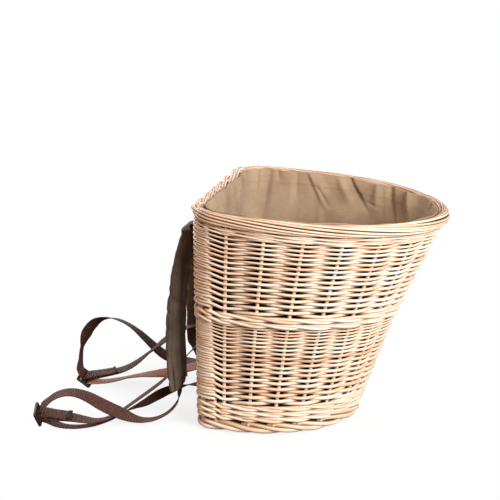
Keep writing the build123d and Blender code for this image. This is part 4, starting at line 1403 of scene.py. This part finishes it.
# %% Peeled willow
def rod_painted_shade(tree, colour):
    """A rod's colour with painted shade: darker between the rows and where it lies behind a stake."""
    across = node(tree, "ShaderNodeSeparateXYZ", {"Vector": on_map(tree)}).outputs["X"]
    turn = worked_out(tree, "MULTIPLY", across, 2 * pi)
    level = worked_out(tree, "ABSOLUTE", worked_out(tree, "SINE", turn))
    # Painted shade on a rod's upper and lower sides, where the rows meet; where a rod lies at the front of
    # the weave it gets none.
    painted_crevice_shade = ramp(tree, level, (0.66, WHITE), (0.92, (0.46, 0.33, 0.24)))
    depth = own_number(tree, "depth")
    inside = ranged(tree, depth, 0.10, 0.45)
    colour = mixed(tree, inside, colour, mixed(tree, 1.0, colour, painted_crevice_shade, "MULTIPLY"))
    # Painted shade deep in the weave: a rod darkens behind a stake, and is nearly black at the deepest.
    behind = ramp(tree, depth, (0.55, WHITE), (0.68, (0.82, 0.68, 0.57)), (0.79, (0.30, 0.20, 0.14)),
                  (0.89, (0.02, 0.013, 0.009)))
    return mixed(tree, 1.0, colour, behind, "MULTIPLY")


def willow_finish(name, mapped):
    """Willow with streaks along each rod: by the rods' own maps, or upright for the stakes. The mapped rods
    also get painted shade.
    """
    finish, tree, shader = finish_tree(name)
    if mapped:
        grain = stretched(tree, on_map(tree), 5.0, 26.0, 1.0)
    else:
        grain = stretched(tree, on_piece(tree), 420.0, 420.0, 22.0)
    streaks = noise(tree, grain, 1.0, 4.0, 0.65)
    patches = noise(tree, on_piece(tree), 26.0, 3.0)
    spread = ranged(tree, own_number(tree, "tint"), -2.6, 2.6)
    own = ramp(tree, spread, (0.0, screen(199, 143, 107)), (0.3, screen(230, 188, 155)),
               (0.6, screen(243, 214, 190)), (1.0, screen(251, 235, 220)))
    patchy = ramp(tree, patches, (0.25, screen(218, 176, 140)), (0.5, screen(238, 210, 182)),
                  (0.75, screen(246, 228, 206)))
    colour = mixed(tree, 0.35, own, patchy)
    dark = ramp(tree, streaks, (0.28, (0.55, 0.47, 0.38)), (0.52, WHITE))
    colour = mixed(tree, 0.45, colour, dark, "MULTIPLY")
    if mapped:
        colour = rod_painted_shade(tree, colour)
    finish_off(tree, shader, colour, streaks, 0.35, 0.0006, {"Roughness": 0.46, "Specular IOR Level": 0.45})
    return finish


wear(willow_finish("peeled_willow", True), WEAVE_PIECES)
willow_stakes = willow_finish("peeled_willow_stakes", False)
for name in ("side_stakes", "back_stakes", "left_corner_post", "right_corner_post", "base_sticks"):
    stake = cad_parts[name]
    if stake.material_slots:
        for place in stake.material_slots:
            place.material = willow_stakes
    else:
        stake.data.materials.append(willow_stakes)
print("willow on", len(WEAVE_PIECES), "woven pieces")


# %% Cotton
def cotton_finish(name, deep, base, light, grain, roughness, sheen):
    """Plain-woven cotton: small uneven threads both ways, and soft patches of wear."""
    finish, tree, shader = finish_tree(name)
    where = on_piece(tree)
    patches = noise(tree, where, 18.0, 4.0)
    warp = noise(tree, stretched(tree, where, grain, grain, grain * 0.12), 1.0, 2.0)
    weft = noise(tree, stretched(tree, where, grain * 0.12, grain * 0.12, grain), 1.0, 2.0)
    threads = worked_out(tree, "ADD", warp, weft)
    colour = ramp(tree, patches, (0.25, screen(*deep)), (0.5, screen(*base)), (0.78, screen(*light)))
    fine = ramp(tree, threads, (0.72, (0.78, 0.76, 0.74)), (1.15, WHITE))
    colour = mixed(tree, 0.6, colour, fine, "MULTIPLY")
    finish_off(tree, shader, colour, threads, 0.25, 0.0005, {
        "Roughness": roughness, "Specular IOR Level": 0.2, "Sheen Weight": sheen, "Sheen Roughness": 0.6})
    return finish


# The liner's outside is seen only between the rods, in the shade of the wall, so it is painted nearly black
# as shade.
COTTONS = {
    "liner_cotton": ((142, 116, 91), (162, 136, 110), (176, 149, 122), 900.0, 0.85, 0.05),
    "liner_outside_painted_shade": ((20, 15, 12), (26, 20, 16), (32, 25, 20), 900.0, 0.95, 0.0),
    "pad_cotton": ((74, 60, 50), (96, 79, 66), (114, 95, 80), 1100.0, 0.9, 0.12),
    "seam_cotton": ((196, 175, 150), (222, 202, 177), (240, 222, 199), 1400.0, 0.9, 0.1),
}
cottons = {name: cotton_finish(name, *look) for name, look in COTTONS.items()}
liner.data.materials[0] = cottons["liner_cotton"]
liner.data.materials[1] = cottons["liner_outside_painted_shade"]
wear(cottons["pad_cotton"], pads.values())
wear(cottons["seam_cotton"], pad_seams)
print("cotton on", 1 + len(pads) + len(pad_seams), "pieces")

# %% Webbing
RIB_LENGTH, CELLS_ACROSS = 0.0044, 17.5


def webbing_finish(name):
    """Cross ribs in a check of cells, read from the ribbon's own map; folded ends are darker, and a negative
    tint paints light on a run as a lighter colour.
    """
    finish, tree, shader = finish_tree(name)
    apart = node(tree, "ShaderNodeSeparateXYZ", {"Vector": on_map(tree)})

    def waves(value, count):
        return worked_out(tree, "SINE", worked_out(tree, "MULTIPLY", value, 2 * pi * count))

    ribs = waves(apart.outputs["Y"], 1 / RIB_LENGTH)
    cells = waves(apart.outputs["X"], CELLS_ACROSS)
    check = worked_out(tree, "MULTIPLY_ADD", cells, 0.55, ribs)
    fuzz = noise(tree, on_piece(tree), 160.0, 4.0)
    colour = ramp(tree, fuzz, (0.3, screen(74, 42, 34)), (0.55, screen(89, 52, 43)),
                  (0.75, screen(105, 65, 54)))
    colour = mixed(tree, 1.0, colour, ranged(tree, check, -1.2, 1.3, 0.42, 1.15), "MULTIPLY")
    tint = own_number(tree, "tint")
    folded = node(tree, "ShaderNodeClamp", {"Value": tint}).outputs[0]
    # A negative tint paints light on a run: its colour goes lighter.
    painted_light = ranged(tree, tint, 0.0, -1.0)
    colour = mixed(tree, folded, colour, screen(38, 27, 24))
    colour = mixed(tree, painted_light, colour, screen(196, 140, 120))
    finish_off(tree, shader, colour, check, 0.5, 0.0006, {"Roughness": 0.65, "Specular IOR Level": 0.2})
    return finish


wear(webbing_finish("brown_webbing"), webbing_pieces)
print("webbing on", len(webbing_pieces), "pieces")

# %% Plastic
slider_plastic, tree, shader = finish_tree("moulded_plastic")
where = on_piece(tree)
worn = ramp(tree, noise(tree, where, 90.0, 4.0), (0.35, screen(22, 20, 21)), (0.7, screen(44, 40, 40)))
finish_off(tree, shader, worn, noise(tree, where, 1500.0, 2.0), 0.15, 0.0002, {"Roughness": 0.42})
wear(slider_plastic, slider_pieces.values())
print("finishes", sorted(m.name for m in bpy.data.materials if m.users))

# %% [markdown]
# ## Floor and light
# The basket stands on a white studio floor. The light is soft and comes from the right and
# above, as a large window would give it. Two weaker lamps stand behind the basket, a faint warm
# one on the left, and a weak fill comes from all round. The background is white by its own
# colour, so that no extra light has to fall on the basket.

# %% Floor
FLOOR_SIZE, FLOOR_DROP = 12, 0.0005
# Round the basket a share of the floor is real, so that a faint shadow shows. Further off it is white.
SHADOW_AT, SHADOW_FROM, SHADOW_TO, WHITE_NEAR = (0.05, 0.0, 0.0), 0.15, 0.45, 0.80
bpy.ops.object.select_all(action="DESELECT")
bpy.ops.mesh.primitive_plane_add(size=FLOOR_SIZE, location=(0, 0, -FLOOR_DROP))
floor = bpy.context.object
floor.name = "studio_floor"
floor_white, tree, shader = finish_tree("studio_floor")
shader.inputs["Base Color"].default_value = (0.92, 0.92, 0.92, 1)
shader.inputs["Roughness"].default_value = 0.9
shader.inputs["Specular IOR Level"].default_value = 0.0
seen = node(tree, "ShaderNodeLightPath")
glow = node(tree, "ShaderNodeEmission", {"Color": (*WHITE, 1), "Strength": seen.outputs["Is Camera Ray"]})
away = node(tree, "ShaderNodeVectorMath", {0: on_piece(tree), 1: SHADOW_AT}, operation="DISTANCE")
white_share = ranged(tree, away.outputs["Value"], SHADOW_FROM, SHADOW_TO, WHITE_NEAR, 1.0,
                     interpolation_type="SMOOTHSTEP")
faint = node(tree, "ShaderNodeMixShader", {0: white_share, 1: shader.outputs[0], 2: glow.outputs[0]})
tree.links.new(faint.outputs[0], tree.nodes["Material Output"].inputs["Surface"])
floor.data.materials.append(floor_white)
print("floor", FLOOR_SIZE, "m")

# %% World
FILL, FILL_COLOUR = 0.35, (1.0, 0.88, 0.77)
world = bpy.data.worlds.new("studio")
scene.world = world
world.use_nodes = True
tree = world.node_tree
backdrop = tree.nodes["Background"].inputs
seen = node(tree, "ShaderNodeLightPath").outputs
straight = worked_out(tree, "MAXIMUM", seen["Is Camera Ray"], seen["Is Glossy Ray"])
direct = worked_out(tree, "MAXIMUM", straight, seen["Is Transmission Ray"])
tree.links.new(ranged(tree, direct, 0.0, 1.0, FILL, 1.0), backdrop["Strength"])
tree.links.new(mixed(tree, direct, FILL_COLOUR, WHITE), backdrop["Color"])
print("fill", FILL)

# %% Lamps
MIDDLE, HARNESS = (0.12, 0.0, 0.2), (-0.15, 0.0, 0.05)


def lamp(name, place, aim, size, power, colour=WHITE):
    """A square soft lamp that faces a point."""
    bpy.ops.object.light_add(type="AREA", location=place)
    made = bpy.context.object
    made.name = name
    made.data.shape, made.data.size, made.data.energy, made.data.color = "SQUARE", size, power, colour
    made.rotation_euler = (Vector(aim) - Vector(place)).to_track_quat("-Z", "Y").to_euler()


lamp("window", (1.95, -1.50, 1.30), MIDDLE, 1.1, 107, (0.93, 0.97, 1.0))
lamp("behind_left", (-1.2, 0.4, 1.4), HARNESS, 1.2, 8)
lamp("behind_right", (-1.1, 2.0, 1.5), MIDDLE, 1.3, 34)
lamp("warm_side", (-1.5, -1.8, 0.9), MIDDLE, 1.2, 9, (1.0, 0.60, 0.38))
